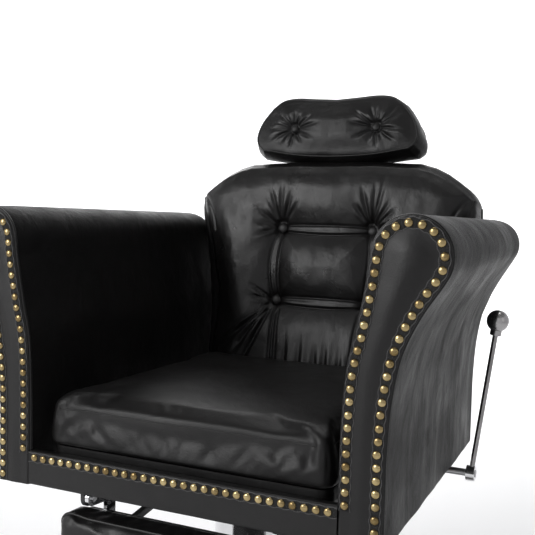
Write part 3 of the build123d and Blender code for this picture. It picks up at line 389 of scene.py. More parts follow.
BLACK, BLACK_SOFT = (0.0042, 0.0040, 0.0041), (0.0078, 0.0072, 0.0072)
hide = leather("hide", BLACK, BLACK_SOFT)
hide_seat = leather("hide_seat", BLACK, BLACK_SOFT, rough=(0.28, 0.46), crease=0.26, ior=1.34, coat=0.0)
hide_tight = leather("hide_tight", BLACK, BLACK_SOFT, rough=(0.33, 0.5), crease=0.3)
hide_arm = leather("hide_arm", BLACK, BLACK_SOFT, rough=(0.36, 0.56), crease=0.6, ior=1.19, coat=0.0)
welt_leather = leather("welt_leather", BLACK, BLACK_SOFT, rough=(0.3, 0.4), crease=0.1)
brass = metal("antique_brass", (0.52, 0.41, 0.21), 0.22, worn=(0.2, 0.14, 0.06))
chrome = metal("chrome", (0.78, 0.78, 0.79), 0.09, worn=(0.74, 0.74, 0.75))
dark_steel = metal("dark_polished_steel", (0.33, 0.32, 0.32), 0.16, worn=(0.24, 0.23, 0.23))
ball_steel = metal("ball_steel", (0.5, 0.49, 0.49), 0.2, worn=(0.4, 0.39, 0.39))
zinc = metal("zinc_steel", (0.52, 0.52, 0.53), 0.32, brushed=0.3)
tread_steel = metal("brushed_alloy", (0.66, 0.66, 0.67), 0.3, brushed=0.4)
powder = coating("black_powder", (0.014, 0.014, 0.015), 0.42)
cast = coating("cast_black", (0.02, 0.02, 0.021), 0.5, 300.0, 0.5)
rubber = coating("black_rubber", (0.013, 0.013, 0.013), 0.62, 700.0, 0.4)
gimp_cloth = coating("gimp_cloth", (0.005, 0.0047, 0.0045), 0.75, 1500.0, 0.6)
# The gimp cords get a lighter grey than the band: a painted highlight along the band's corded edges.
gimp_cord_painted_highlight = coating("gimp_cord_painted_highlight", (0.045, 0.044, 0.045), 0.35, 2200.0, 0.5)
wood = plywood("plywood")

KEPT = (
    (cast, "base_plate"),
    (rubber, "base_ring pedal_grips foot_tread"),
    (
        chrome,
        "base_cover pump_gland pump_shroud pedal_arm pump_ram post_sockets lever_hub head_posts "
        "leg_frame",
    ),
    (
        powder,
        "pump_cylinder swivel_hub mount_plate seat_frame arm_brackets hinge_brackets lock_barrel "
        "lock_clamps lever_bearings leg_brackets back_frame leg_link",
    ),
    (
        zinc,
        "pump_bolts pedal_axle swivel_washer mount_bolts arm_screws recline_pins leg_pins "
        "lock_rod lock_cross_pin lever_shaft",
    ),
    (hide_tight, "seat_board back_board head_board leg_board"),
    (wood, "arm_core_left arm_core_right"),
    (dark_steel, "lever_rod"),
    (ball_steel, "lever_ball"),
    (tread_steel, "foot_plate"),
)
for material, names in KEPT:
    for node_name in names.split():
        obj = nodes[node_name]
        for material_slot in obj.material_slots:
            material_slot.material = material
        if not obj.material_slots:
            obj.data.materials.append(material)


# ---------------------------------------------------------------- arm outline
SCROLL_OUT, SCROLL_RISE, SCROLL_R = 81 * MM, 226 * MM, 49 * MM
ARM_TAPER = 13 * MM
INNER_EDGE = [(0, -ARM_DROP / MM), (0.4, -60), (1, 11), (6, 88), (16, 133), (28, 198)]
OUTER_EDGE = [(94, 156), (73, 110), (62, 55), (57.5, -10), (57, -70), (57, -ARM_DROP / MM)]


def arm_path(count, taper=0.0, grow=0.0):
    """Open outline of an arm as (x, z): up the inner face, over the scroll, down the outer face."""
    centre = np.array([SCROLL_OUT - taper / 2, SCROLL_RISE + taper / 5])
    radius = SCROLL_R - taper / 2
    turn = np.radians(np.linspace(168, -35, 13))
    arc = centre + radius * np.stack([np.cos(turn), np.sin(turn)], -1)
    inner = np.array(INNER_EDGE) * MM
    outer = np.array(OUTER_EDGE) * MM
    outer[:, 0] -= taper
    line = smooth_line(np.vstack([inner, arc, outer]), 16)
    line = resample(line, count)
    if grow:
        line = line + normals_2d(line) * grow
    line[:, 0] += INNER_X
    line[:, 1] += SEAT_TOP
    return line


def mirror_x(points, side):
    """The points, mirrored for the other arm."""
    out = np.array(points, float)
    out[..., 0] *= side
    return out


# ---------------------------------------------------------------- stuffed covers
def mesh_points(mesh):
    """The mesh's vertices as an array."""
    flat = np.empty(len(mesh.vertices) * 3)
    mesh.vertices.foreach_get("co", flat)
    return flat.reshape(-1, 3)


def settle_modifiers(obj):
    """The object's mesh as its modifiers leave it, and the modifiers gone."""
    graph = bpy.context.evaluated_depsgraph_get()
    mesh = bpy.data.meshes.new_from_object(obj.evaluated_get(graph))
    obj.modifiers.clear()
    obj.data = mesh
    return mesh


def stuff(obj, held, voxel, cap, slack=-0.035, pressure=4.0, frames=20):
    """The cover remeshed evenly and blown up by its filling as cloth, held(points) staying put."""
    scene = bpy.context.scene
    remesh = obj.modifiers.new("even", "REMESH")
    remesh.mode = "VOXEL"
    remesh.voxel_size = voxel
    even = settle_modifiers(obj)
    start = mesh_points(even)
    fixed = obj.vertex_groups.new(name="held")
    fixed.add([int(i) for i in np.nonzero(held(start))[0]], 1.0, "REPLACE")
    cloth = obj.modifiers.new("cover", "CLOTH")
    leather_cloth = {"quality": 5, "mass": 0.4, "tension_stiffness": 22, "compression_stiffness": 12}
    leather_cloth |= {"bending_stiffness": 0.35, "use_pressure": True, "uniform_pressure_force": pressure}
    leather_cloth |= {"shrink_min": slack, "vertex_group_mass": "held"}
    for key, value in leather_cloth.items():
        setattr(cloth.settings, key, value)
    cloth.settings.effector_weights.gravity = 0
    cloth.collision_settings.use_self_collision = False
    cloth.point_cache.frame_start, cloth.point_cache.frame_end = 1, frames
    for step in range(1, frames + 1):
        scene.frame_set(step)
    graph = bpy.context.evaluated_depsgraph_get()
    moved = mesh_points(obj.evaluated_get(graph).data) - start
    reach = np.linalg.norm(moved, axis=1)[:, None]
    moved *= np.minimum(1, cap / np.maximum(reach, 1e-9))
    obj.modifiers.clear()
    obj.vertex_groups.clear()
    even.vertices.foreach_set("co", (start + moved).ravel())
    even.update()
    scene.frame_set(1)
    finer = obj.modifiers.new("finer", "SUBSURF")
    finer.levels = finer.render_levels = 1
    smooth = settle_modifiers(obj)
    smooth.polygons.foreach_set("use_smooth", [True] * len(smooth.polygons))
    return obj


def onto(obj, points, out=0.3 * MM, reach=30 * MM):
    """Points moved to the nearest place on the piece's surface, raised a little off it."""
    faces = [tuple(f.vertices) for f in obj.data.polygons]
    tree = BVHTree.FromPolygons([v.co for v in obj.data.vertices], faces)
    landed = []
    for point in points:
        spot, normal, _, _ = tree.find_nearest(Vector(point), reach)
        landed.append(tuple(spot + normal * out) if spot else tuple(point))
    return np.array(landed)


def settle_line(points, width=9):
    """Small steps taken out of a closed line of points."""
    kernel = np.ones(width) / width
    pad = width // 2
    out = [np.convolve(np.r_[c[-pad:], c, c[:pad]], kernel, "valid") for c in points.T]
    return np.stack(out, -1)


# ---------------------------------------------------------------- arms
NAIL_INSET, NAIL_PITCH, NAIL_R, NAIL_H = 9 * MM, 15.9 * MM, 5.5 * MM, 3.2 * MM
PANEL_PROUD = 2.2 * MM
EDGE_ROLL = 4 * MM
CREST = 9 * MM
REAR_ROUND, FOOT_ROUND = 45 * MM, 20 * MM


def arm_body(side):
    """Padded arm behind its front panel: the outline carried back, rounded off at the rear."""
    count = 260
    front, rear = FRONT_Y + 4 * MM, REAR_Y
    depth = rear - front
    spots = np.r_[0, np.linspace(0.6, 4, 5), np.linspace(8, depth / MM - 16, 130)]
    spots = np.r_[spots, depth / MM - 16 * (1 - np.sin(np.linspace(0.1, math.pi / 2, 10)))] * MM
    rows = []
    for at in spots:
        share = at / depth
        line = arm_path(count, ARM_TAPER * share)
        out = normals_2d(line)
        left = depth - at
        tuck = 5 / 7 * rounding(at, 7 * MM) + 13 / 16 * rounding(left, 16 * MM)
        puff = 1.2 * MM * math.sin(math.pi * min(1, at / (60 * MM)) / 2) * min(1, left / (60 * MM))
        line = line + out * (puff - tuck)
        base = np.linspace(line[-1], line[0], 26)[1:-1]
        ring = np.vstack([line, base])
        y = front + at
        top = SEAT_TOP + SCROLL_RISE + SCROLL_R + 2 * MM
        top -= rounding(rear - y, REAR_ROUND)
        low = FOOT_Z + rounding(rear - y, FOOT_ROUND)
        ring[:, 1] = np.clip(ring[:, 1], low, top)
        rows.append(np.stack([ring[:, 0], np.full(len(ring), y), ring[:, 1]], -1))
    pts = np.array(rows)
    # soft standing wrinkles in the leather, stronger low on the outer face than on top
    along = np.linspace(0, 1, pts.shape[1])
    outer = smoothstep((along - 0.5) / 0.15) * smoothstep((0.97 - along) / 0.1)
    inner = smoothstep((0.44 - along) / 0.2) * smoothstep((along - 0.02) / 0.1)
    wave = noise_field(pts, (9, 17, 3.4), 3.7 + side)
    fine = noise_field(pts, (22, 46, 8), 11.0 + side)
    lift = (1.9 * wave + 0.7 * fine) * outer[None] + (0.55 * wave + 0.25 * fine) * inner[None]
    lift *= smoothstep(np.minimum(spots, depth - spots) / (45 * MM))[:, None] * MM
    ring_dir = np.roll(pts, -1, 1) - np.roll(pts, 1, 1)
    out = np.stack([-ring_dir[..., 2], 0 * ring_dir[..., 0], ring_dir[..., 0]], -1)
    out /= np.linalg.norm(out, axis=-1)[..., None] + 1e-12
    pts = pts + out * lift[..., None]
    hand = "left" if side > 0 else "right"
    return sheet_object(f"arm_padding_{hand}", mirror_x(pts, side), close_cols=True, caps=("first", "last"))


def arm_front(side):
    """Front panel of an arm: leather drawn over a padded board, rolled at its edge."""
    count = 321
    line = arm_path(count)
    half = count // 2
    across = np.sin(np.linspace(-math.pi / 2, math.pi / 2, 41)) * 0.5 + 0.5
    rows = []
    for k in range(half + 1):
        a, b = line[k], line[count - 1 - k]
        span = a + (b - a) * across[:, None]
        width = np.linalg.norm(b - a)
        near, far = across * width, (1 - across) * width
        nearest_side = np.minimum(near, far)
        edge = -CREST * np.log(np.exp(-near / CREST) + np.exp(-far / CREST))
        edge = np.where(nearest_side < 6 * MM, nearest_side, np.maximum(edge, 6 * MM))
        if k > half - 60:
            nearest = np.linalg.norm(span[:, None] - line[None, half - 80 : half + 81 : 4], axis=-1).min(1)
            edge = np.minimum(edge, nearest)
        drop = rounding(edge, EDGE_ROLL)
        inside = np.clip(edge - 13 * MM, 0, 34 * MM)
        rise = PANEL_PROUD + 6.5 * MM * smoothstep(inside / (34 * MM)) - drop
        rows.append(np.stack([span[:, 0], FRONT_Y - rise, span[:, 1]], -1))
    pts = np.array(rows)
    pts[..., 1] -= 0.35 * MM * noise_field(pts, (30, 1, 9), 5.0 + side)
    # turn the rim back to the arm
    hand = "left" if side > 0 else "right"
    panel = sheet_object(f"arm_front_{hand}", mirror_x(pts, side))
    rim = np.stack([line[:, 0], np.full(count, FRONT_Y + 2.0 * MM), line[:, 1]], -1)
    edge_row = np.stack([line[:, 0], np.full(count, FRONT_Y - PANEL_PROUD + 4 * MM), line[:, 1]], -1)
    skirt = sheet_object(f"arm_front_rim_{hand}", mirror_x(np.array([edge_row, rim]), side))
    both = join(f"arm_front_{hand}", [panel, skirt])
    bm = bmesh.new()
    bm.from_mesh(both.data)
    bmesh.ops.remove_doubles(bm, verts=bm.verts, dist=0.05 * MM)
    bmesh.ops.recalc_face_normals(bm, faces=bm.faces)
    bm.to_mesh(both.data)
    bm.free()
    return both


def inset_path(line, inset, count):
    """The outline brought in, for the nails and their band."""
    moved = line - normals_2d(line) * inset
    return resample(moved, count)


def nail_mesh():
    """One domed nail head, its flat side on z = 0."""
    profile = [(NAIL_R * 0.94, -0.3 * MM), (NAIL_R, 0.15 * MM), (NAIL_R * 0.985, 0.6 * MM)]
    for angle in np.linspace(12, 84, 8):
        a = math.radians(angle)
        profile.append((NAIL_R * 0.97 * math.cos(a), 0.6 * MM + (NAIL_H - 0.6 * MM) * math.sin(a)))
    sides = 24
    turn = np.linspace(0, 2 * math.pi, sides, endpoint=False)
    verts = [(r * math.cos(t), r * math.sin(t), z) for r, z in profile for t in turn]
    faces = grid_faces(len(profile), sides, close_cols=True)
    verts.append((0, 0, NAIL_H))
    last = (len(profile) - 1) * sides
    faces += [(last + c, last + (c + 1) % sides, len(verts) - 1) for c in range(sides)]
    faces.append(tuple(range(sides)))
    return verts, faces


def nail_frames(points, seed):
    """Places for nails on the front faces, each turned and tilted a little as a person drives them."""
    rng = np.random.default_rng(seed)
    places = []
    for x, z in points:
        lean, turn = rng.normal(0, 0.035), rng.normal(0, 0.035)
        tilt = Matrix.Rotation(lean, 3, "X") @ Matrix.Rotation(turn, 3, "Z")
        basis = tilt @ Matrix(((1, 0, 0), (0, 0, -1), (0, 1, 0)))
        shift = rng.normal(0, 0.00018, 2)
        places.append((np.array(basis), (x + shift[0], FRONT_Y - PANEL_PROUD - 0.8 * MM, z + shift[1])))
    return places


def gimp_band(name, path, proud, side=1):
    """Woven band under a nail row: a flat strip, pinched between nails, with a corded edge each side."""
    run = run_of(path)
    out = normals_2d(path)
    wave = 0.5 + 0.5 * np.cos(2 * math.pi * run / NAIL_PITCH)
    half = (5.6 + 1.5 * wave) * MM
    cross = np.linspace(-1, 1, 13)
    bow = 0.5 * MM * (1 - cross**2) + 0.25 * MM * np.cos(cross * 9)
    x, z = (path[:, None, k] + out[:, None, k] * half[:, None] * cross[None] for k in (0, 1))
    ripple = 0.25 * MM * np.cos(2 * math.pi * run / (NAIL_PITCH / 5))[:, None] * (np.abs(cross)[None] > 0.3)
    y = proud - bow[None] - ripple - 0.3 * MM
    pieces = [sheet_object(name + "_strip", mirror_x(np.stack([x, y + 0 * x, z], -1), side))]
    for edge in (-1, 1):
        along = path + out * half[:, None] * edge
        cord = np.stack([along[:, 0], np.full(len(path), proud - 0.35 * MM), along[:, 1]], -1)
        twist = 0.6 * MM * (1 + 0.18 * np.cos(2 * math.pi * run / (2.6 * MM)))
        pieces.append(tube(name + f"_cord{edge}", mirror_x(cord, side), twist, sides=7, up=(0, 1, 0)))
    return pieces[0], join(name + "_cords", pieces[1:])


nail_verts, nail_faces = nail_mesh()
apron_nail_z = apron_hi.z - NAIL_INSET
for side, hand in ((1, "left"), (-1, "right")):
    finish_piece(arm_body(side), "seat", hide_arm, (f"arm_{hand}",))
    finish_piece(arm_front(side), "seat", hide_tight, (f"arm_panel_{hand}",))
    outline = arm_path(1200)
    row = inset_path(outline, NAIL_INSET, 1600)
    run = run_of(row)
    start = apron_nail_z - FOOT_Z + 12 * MM
    nails = int(round((run[-1] - start - 10 * MM) / NAIL_PITCH))
    at = start + np.arange(nails + 1) * (run[-1] - start - 10 * MM) / nails
    spots = np.stack([np.interp(at, run, row[:, 0]), np.interp(at, run, row[:, 1])], -1)
    spots[:, 0] *= side
    studs = copies(f"nails_{hand}", nail_verts, nail_faces, nail_frames(spots, 7 + side))
    finish_piece(studs, "seat", brass, (f"arm_nails_{hand}",))
    keep = run >= start - NAIL_PITCH / 2
    path = row[keep]
    band, cords = gimp_band(f"gimp_{hand}", path, FRONT_Y - PANEL_PROUD, side)
    finish_piece(band, "seat", gimp_cloth)
    # the cords take the lighter grey, a painted highlight
    finish_piece(cords, "seat", gimp_cord_painted_highlight)
    rim = arm_path(420, grow=-0.4 * MM)
    cord = np.stack([rim[:, 0], np.full(len(rim), FRONT_Y + 3.2 * MM), rim[:, 1]], -1)
    edging = tube(f"arm_welt_{hand}", mirror_x(cord, side), 2.3 * MM, sides=12, up=(0, 1, 0))
    finish_piece(edging, "seat", welt_leather)


# ---------------------------------------------------------------- front apron
def apron():
    """Leather-covered rail between the arms, below the cushion."""
    half = apron_hi.x
    x = np.linspace(-half, half, 180)
    edge = np.r_[0, 1.2, 3, 6, 12, 20, 30, 38, 44, 47.5, 49.5, 50.5, 51] / 51
    z = apron_lo.z + (apron_hi.z - apron_lo.z) * edge
    near = np.minimum(z - apron_lo.z, apron_hi.z - z)
    drop = rounding(near, EDGE_ROLL)
    xx, zz = np.meshgrid(x, z)
    yy = FRONT_Y - PANEL_PROUD + drop[:, None] + 0 * xx
    front = np.stack([xx, yy, zz], -1)
    front[..., 1] -= 0.5 * MM * noise_field(front, (25, 1, 30), 2.0)
    back = front[::-1].copy()
    back[..., 1] = apron_hi.y
    return sheet_object("apron_leather", np.vstack([front, back]), close_rows=True)


finish_piece(apron(), "seat", hide_tight, ("front_apron",))
apron_half = INNER_X - 12 * MM
apron_count = round(2 * apron_half / NAIL_PITCH)
apron_spots = [(x, apron_nail_z) for x in np.linspace(-apron_half, apron_half, apron_count + 1)]
studs = copies("nails_apron", nail_verts, nail_faces, nail_frames(apron_spots, 21))
finish_piece(studs, "seat", brass, ("apron_nails",))
strip = np.stack([np.linspace(-apron_hi.x, apron_hi.x, 900), np.full(900, apron_nail_z)], -1)
band, cords = gimp_band("gimp_apron", strip, FRONT_Y - PANEL_PROUD)
finish_piece(band, "seat", gimp_cloth)
# the cords take the lighter grey, a painted highlight
finish_piece(cords, "seat", gimp_cord_painted_highlight)


# ---------------------------------------------------------------- cushions from a rounded plan
def rounded_plan(half_x, half_y, radius, count, bulge=0.0):
    """Closed rounded rectangle about the origin, its sides bowed out by bulge."""
    corners = []
    for cx, cy, start in ((1, 1, 0), (-1, 1, 90), (-1, -1, 180), (1, -1, 270)):
        for a in np.radians(np.linspace(start, start + 90, 12)):
            x, y = cx * (half_x - radius), cy * (half_y - radius)
            corners.append((x + radius * math.cos(a), y + radius * math.sin(a)))
    line = resample(np.array(corners), count, closed=True)
    share = np.clip(np.abs(line) / [half_x, half_y], 0, 1)
    line += np.sign(line) * bulge * (1 - share[:, ::-1] ** 2) * share**6
    return line


def box_cushion(plan, thick, crown, roll, seam, belly=2.0 * MM, rings=46):
    """Crowned box cushion on the XY plane: rolled top edge, a sewn seam below it, bellied side, flat foot."""
    rows = []
    reach = np.abs(plan).max()
    for share in np.linspace(0, 1, rings)[1:]:
        rows.append((plan * (1 - roll / reach) * share, thick + crown * (1 - share**2.2)))
    for a in np.linspace(0, math.pi / 2, 10)[1:]:
        spread = 1 - roll * (1 - math.sin(a)) / reach
        rows.append((plan * spread, thick - roll * (1 - math.cos(a))))
    low = thick - roll
    for z in np.linspace(low, 6 * MM, 26)[1:]:
        groove = -1.5 * MM * math.exp(-(((z - seam) / (1.6 * MM)) ** 2))
        swell = belly * math.sin(math.pi * z / low)
        rows.append((plan * (1 + (groove + swell) / reach), z))
    for a in np.linspace(0, math.pi / 2, 6)[1:]:
        rows.append((plan * (1 - 6 * MM * (1 - math.cos(a)) / reach), 6 * MM * (1 - math.sin(a))))
    return np.array([np.column_stack([p, np.full(len(p), z)]) for p, z in rows])


def seat_pad():
    """Seat cushion: crowned, rolled at the front, creased a little where people sit."""
    lo, hi = seat_lo, seat_hi
    half_x, half_y = (hi.x - lo.x) / 2, (hi.y - lo.y) / 2 + 2.5 * MM
    thick = hi.z - lo.z
    plan = rounded_plan(half_x + 0.8 * MM, half_y, 17 * MM, 420, bulge=1.0 * MM)
    pts = box_cushion(plan, thick - 4 * MM, 5 * MM, 13 * MM, thick - 20 * MM)
    high = pts[..., 2] > thick - 18 * MM
    dish = -2.2 * MM * np.exp(-((pts[..., 0] / 0.13) ** 2) - ((pts[..., 1] - 0.03) / 0.14) ** 2)
    rumple = noise_field(pts, (7, 7, 4), 9.0) * 1.1 * MM + noise_field(pts, (26, 26, 10), 1.0) * 0.35 * MM
    pts[..., 2] += np.where(high, dish + rumple, 0)
    front = smoothstep((-pts[..., 1] - half_y + 12 * MM) / (10 * MM)) * ~high
    creases = noise_field(pts, (11, 1, 26), 4.0) * 0.8 * MM + noise_field(pts, (30, 1, 60), 6.0) * 0.25 * MM
    pts[..., 1] -= front * creases
    centre = np.array([(lo.x + hi.x) / 2, (lo.y + hi.y) / 2, lo.z])
    return pts + centre, plan, thick, centre


pad_points, pad_plan, pad_thick, pad_centre = seat_pad()
pad_points = (pad_points - pad_centre) * [0.993, 0.99, 0.97] + pad_centre
pad = sheet_object("seat_pad", pad_points, close_cols=True, caps=("first", "last"))
stuff(pad, lambda p: p[:, 2] < seat_lo.z + 9 * MM, 6 * MM, 8 * MM, slack=-0.012)
finish_piece(pad, "seat", hide_seat, ("seat_cushion",))
seam_height = np.full(len(pad_plan), pad_thick - 20 * MM)
seam_line = np.column_stack([pad_plan * (1 + 0.2 * MM / 0.225), seam_height]) + pad_centre
seam_line = settle_line(onto(pad, seam_line))
welt("seat_pad_seam", seam_line, 0.9 * MM, "seat", sides=8, up=(0, 0, 1))


# ---------------------------------------------------------------- folds and buttons on a soft face
def nearest_on(u, v, a, b):
    """Share along a-b nearest to each point, and the offset from there."""
    ab = b - a
    t = np.clip(((u - a[0]) * ab[0] + (v - a[1]) * ab[1]) / (ab @ ab + 1e-12), 0, 1)
    return t, u - a[0] - t * ab[0], v - a[1] - t * ab[1]


def polar(centre, reach, angle, aside=0.0):
    """Point at a reach and angle from a centre, moved aside to its left."""
    cos, sin = math.cos(angle), math.sin(angle)
    return centre[0] + reach * cos - aside * sin, centre[1] + reach * sin + aside * cos


def bezier(p0, p1, p2, count=40):
    """Quadratic curve between two points."""
    t = np.linspace(0, 1, count)[:, None]
    return (1 - t) ** 2 * np.array(p0) + 2 * t * (1 - t) * np.array(p1) + t**2 * np.array(p2)


def fold(u, v, points, width, depth, taper=(0.15, 0.35)):
    """Height of a groove (depth below 0) or ridge along a path, fading at its ends."""
    path = bezier(*points) if len(points) == 3 else np.linspace(points[0], points[1], 30)
    path = np.asarray(path, float)
    dist = np.full(u.shape, np.inf)
    share = np.zeros(u.shape)
    for k in range(len(path) - 1):
        t, du, dv = nearest_on(u, v, path[k], path[k + 1])
        d = np.hypot(du, dv)
        nearer = d < dist
        dist = np.where(nearer, d, dist)
        share = np.where(nearer, (k + t) / (len(path) - 1), share)
    fade = smoothstep(share / max(taper[0], 1e-3)) * smoothstep((1 - share) / max(taper[1], 1e-3))
    spread = width * (0.7 + 0.6 * share)
    return depth * fade * np.exp(-((dist / spread) ** 2))


def dimple(u, v, centre, depth, radius):
    """Hollow round a button."""
    r = np.hypot(u - centre[0], v - centre[1])
    return -depth * np.exp(-((r / radius) ** 2))


# ---------------------------------------------------------------- buttoned back
BUTTONS = [(s * 92, v) for s in (-1, 1) for v in (109, 252)]
BACK_SIDE = [
    (-45, 233), (0, 235), (91, 240), (156, 250), (219, 263),
    (250, 272), (275, 279), (292, 281.5), (313, 280),
]
BACK_SEAM = [
    (-45, 229), (9, 225), (76, 220), (130, 222), (158, 233),
    (215, 247), (250, 259), (275, 269), (292, 275), (313, 278),
]
BACK_CROWN = [
    (0, 388), (80, 388.5), (174, 384), (202, 376), (225, 364),
    (245, 350), (262, 335.5), (272, 325), (279, 313),
]
BACK_FOOT, BACK_WING, BACK_EDGE_DEPTH = -45, 313, 90


def across(table, at):
    """Value of a table of (key, value) pairs between its rows."""
    keys, values = np.array(table, float).T
    return np.interp(at, keys, values)


def near_network(u, v, lines):
    """Distance in mm from each point to the nearest of the lines."""
    best = np.full(u.shape, 1e3)
    for line in lines:
        path = np.asarray(line, float)
        for a, b in zip(path[:-1], path[1:]):
            _, du, dv = nearest_on(u, v, a, b)
            best = np.minimum(best, np.hypot(du, dv))
    return best


def pleat(u, v, path, half, ends=12.0):
    """Raised strip with a crease each side, drawn between two buttons, in mm of height."""
    path = np.asarray(path, float)
    dist = np.full(u.shape, 1e3)
    run = run_of(path)
    at = np.zeros(u.shape)
    for k, (a, b) in enumerate(zip(path[:-1], path[1:])):
        ab = b - a
        t, du, dv = nearest_on(u, v, a, b)
        signed = np.hypot(du, dv) * np.sign(ab[0] * dv - ab[1] * du + 1e-9)
        nearer = np.abs(signed) < np.abs(dist)
        dist = np.where(nearer, signed, dist)
        at = np.where(nearer, run[k] + t * (run[k + 1] - run[k]), at)
    share = at / run[-1]
    half = half * (0.62 + 0.38 * np.sin(math.pi * np.clip(share, 0, 1)) ** 0.7)
    live = smoothstep(at / ends) * smoothstep((run[-1] - at) / ends)
    strip = 4.6 * np.exp(-((np.abs(dist) / (half * 0.72)) ** 4))
    crease = -2.6 * np.exp(-(((np.abs(dist) - half) / 1.9) ** 2))
    second = -np.exp(-(((dist - half * 0.35) / 1.5) ** 2))
    second *= smoothstep((share - 0.25) * 3) * smoothstep((0.95 - share) * 4)
    return live * (strip + crease + second)


def bowed(a, b, sag, count=16):
    """Line from a to b bowed sideways by sag."""
    a, b = np.array(a, float), np.array(b, float)
    t = np.linspace(0, 1, count)[:, None]
    side = np.array([-(b - a)[1], (b - a)[0]]) / np.linalg.norm(b - a)
    return a + (b - a) * t + side * sag * 4 * t * (1 - t)


def fade_in(path):
    """Folds that start at a button start sharp; gathers standing on the foot die out slowly upward."""
    starts = min(math.hypot(path[0][0] - b[0], path[0][1] - b[1]) for b in BUTTONS)
    return 0.08 if starts < 30 else 0.75


def back_relief(u, v):
    """Height of the buttoned face above its board plane, in mm: u and v in mm."""
    lo, hi = 109, 252
    left, right = -92, 92
    tucks = [
        bowed((left, hi), (right, hi), -3),
        bowed((left, lo), (right, lo), -2),
        bowed((left, lo), (left, hi), 9),
        bowed((right, lo), (right, hi), -9),
    ]
    net = near_network(u, v, tucks)
    h = 17.0 * (1 - np.exp(-((net / 30) ** 1.35)))
    rim = across(BACK_SEAM, np.clip(v, BACK_FOOT, BACK_WING)) - np.abs(u)
    edge = np.clip(np.minimum(rim, across(BACK_CROWN, np.abs(u)) - v), 0, None)
    h = h * (0.35 + 0.65 * smoothstep(edge / 60)) + 5.0 * smoothstep(edge / 35)
    for tuck, half in zip(tucks, (9.5, 10.0, 9.5, 9.5)):
        h = h + pleat(u, v, tuck, half)
    rng = np.random.default_rng(12)
    fans = []
    # angle and reach of the folds that fan out above the upper buttons
    turns = [(54, 66), (74, 88), (92, 104), (106, 100), (123, 80), (142, 66), (160, 50)]
    for side in (-1, 1):
        column = side * 92

        def from_button(row, *offsets):
            """Points by their distance outward from the button and above it."""
            return tuple((column + side * out, row + up) for out, up in offsets)

        hub = (column, hi)
        for angle, reach in turns:
            a = math.radians(angle if side < 0 else 180 - angle)
            a += rng.normal(0, 0.03)
            reach *= rng.uniform(0.9, 1.08)
            mid = polar(hub, reach * 0.55, a, rng.normal(0, 4))
            fans.append(((polar(hub, 9, a), mid, polar(hub, reach, a * 0.98 + 0.03)), 3.4, -2.9))
            lean = a + math.radians(7.5)
            fans.append(((polar(hub, 14, lean), polar(hub, reach * 0.8, lean)), 4.2, 1.7))
        # short creases outward from both buttons
        for row, tilt in ((hi, 0.16), (lo, 0.06), (hi, -0.35), (lo, 0.5)):
            fans.append((from_button(row, (9, 0), (31, 31 * tilt + 1), (62, 62 * tilt)), 3.2, -2.3))
            fans.append((from_button(row, (12, -7), (55.8, 56 * tilt - 7)), 4.0, 1.5))
        # long folds from the lower buttons to the bottom corners, with ridges between them
        for x, y, width, drop in (
            (112, -104, 4.0, -4.4), (88, -124, 3.4, -3.2), (62, -140, 3.6, -3.6), (128, -84, 3.2, -2.0),
        ):
            line = from_button(lo, (x * 0.09, y * 0.09), (x * 0.52 - 4, y * 0.52 - 3), (x, y))
            fans.append((line, width, drop))
        for x, y in ((102, -116), (76, -132), (122, -94)):
            fans.append((from_button(lo, (12, -12), (x * 0.5, y * 0.52), (x, y)), 4.4, 3.0))
        # straight down from the lower buttons
        fans.append((from_button(lo, (0, -9), (-3, -70), (-5, -146)), 3.4, -4.0))
        fans.append((from_button(lo, (-10, -14), (-14, -76), (-15, -146)), 3.0, -2.2))
        fans.append((from_button(lo, (-5, -20), (-9, -76), (-10, -146)), 3.2, 2.4))
    # gathers standing on the bottom edge
    for x in (-56, -27, 3, 22, 52):
        x += rng.uniform(-3, 3)
        tall = rng.uniform(62, 104)
        middle, foot = x + rng.uniform(-5, 5), x + rng.uniform(-6, 6)
        fans.append((((x, -32 + tall), (middle, -10), (foot, -48)), 5.0, -2.7))
        fans.append((((x + 11, -34 + tall * 0.9), (x + 10, -48)), 6.0, 1.8))
    for x in (-205, -190, 190, 205):
        fans.append((((x, 20), (x, -10), (x, -48)), 4.0, -2.4))
    for path, width, rise in fans:
        rising = (fade_in(path), 0.02) if path[-1][1] < -30 else (0.08, 0.6)
        h = h + fold(u, v, path, 1.12 * width, 1.2 * rise, rising)
    for side in (-1, 1):
        h = h + fold(u, v, ((side * 236, 240), (side * 243, 292), (side * 277, 318)), 3.0, -2.6, (0.05, 0.05))
    for centre in BUTTONS:
        h = h + dimple(u, v, centre, 9.5, 13) + dimple(u, v, centre, 5.5, 42)
    return h


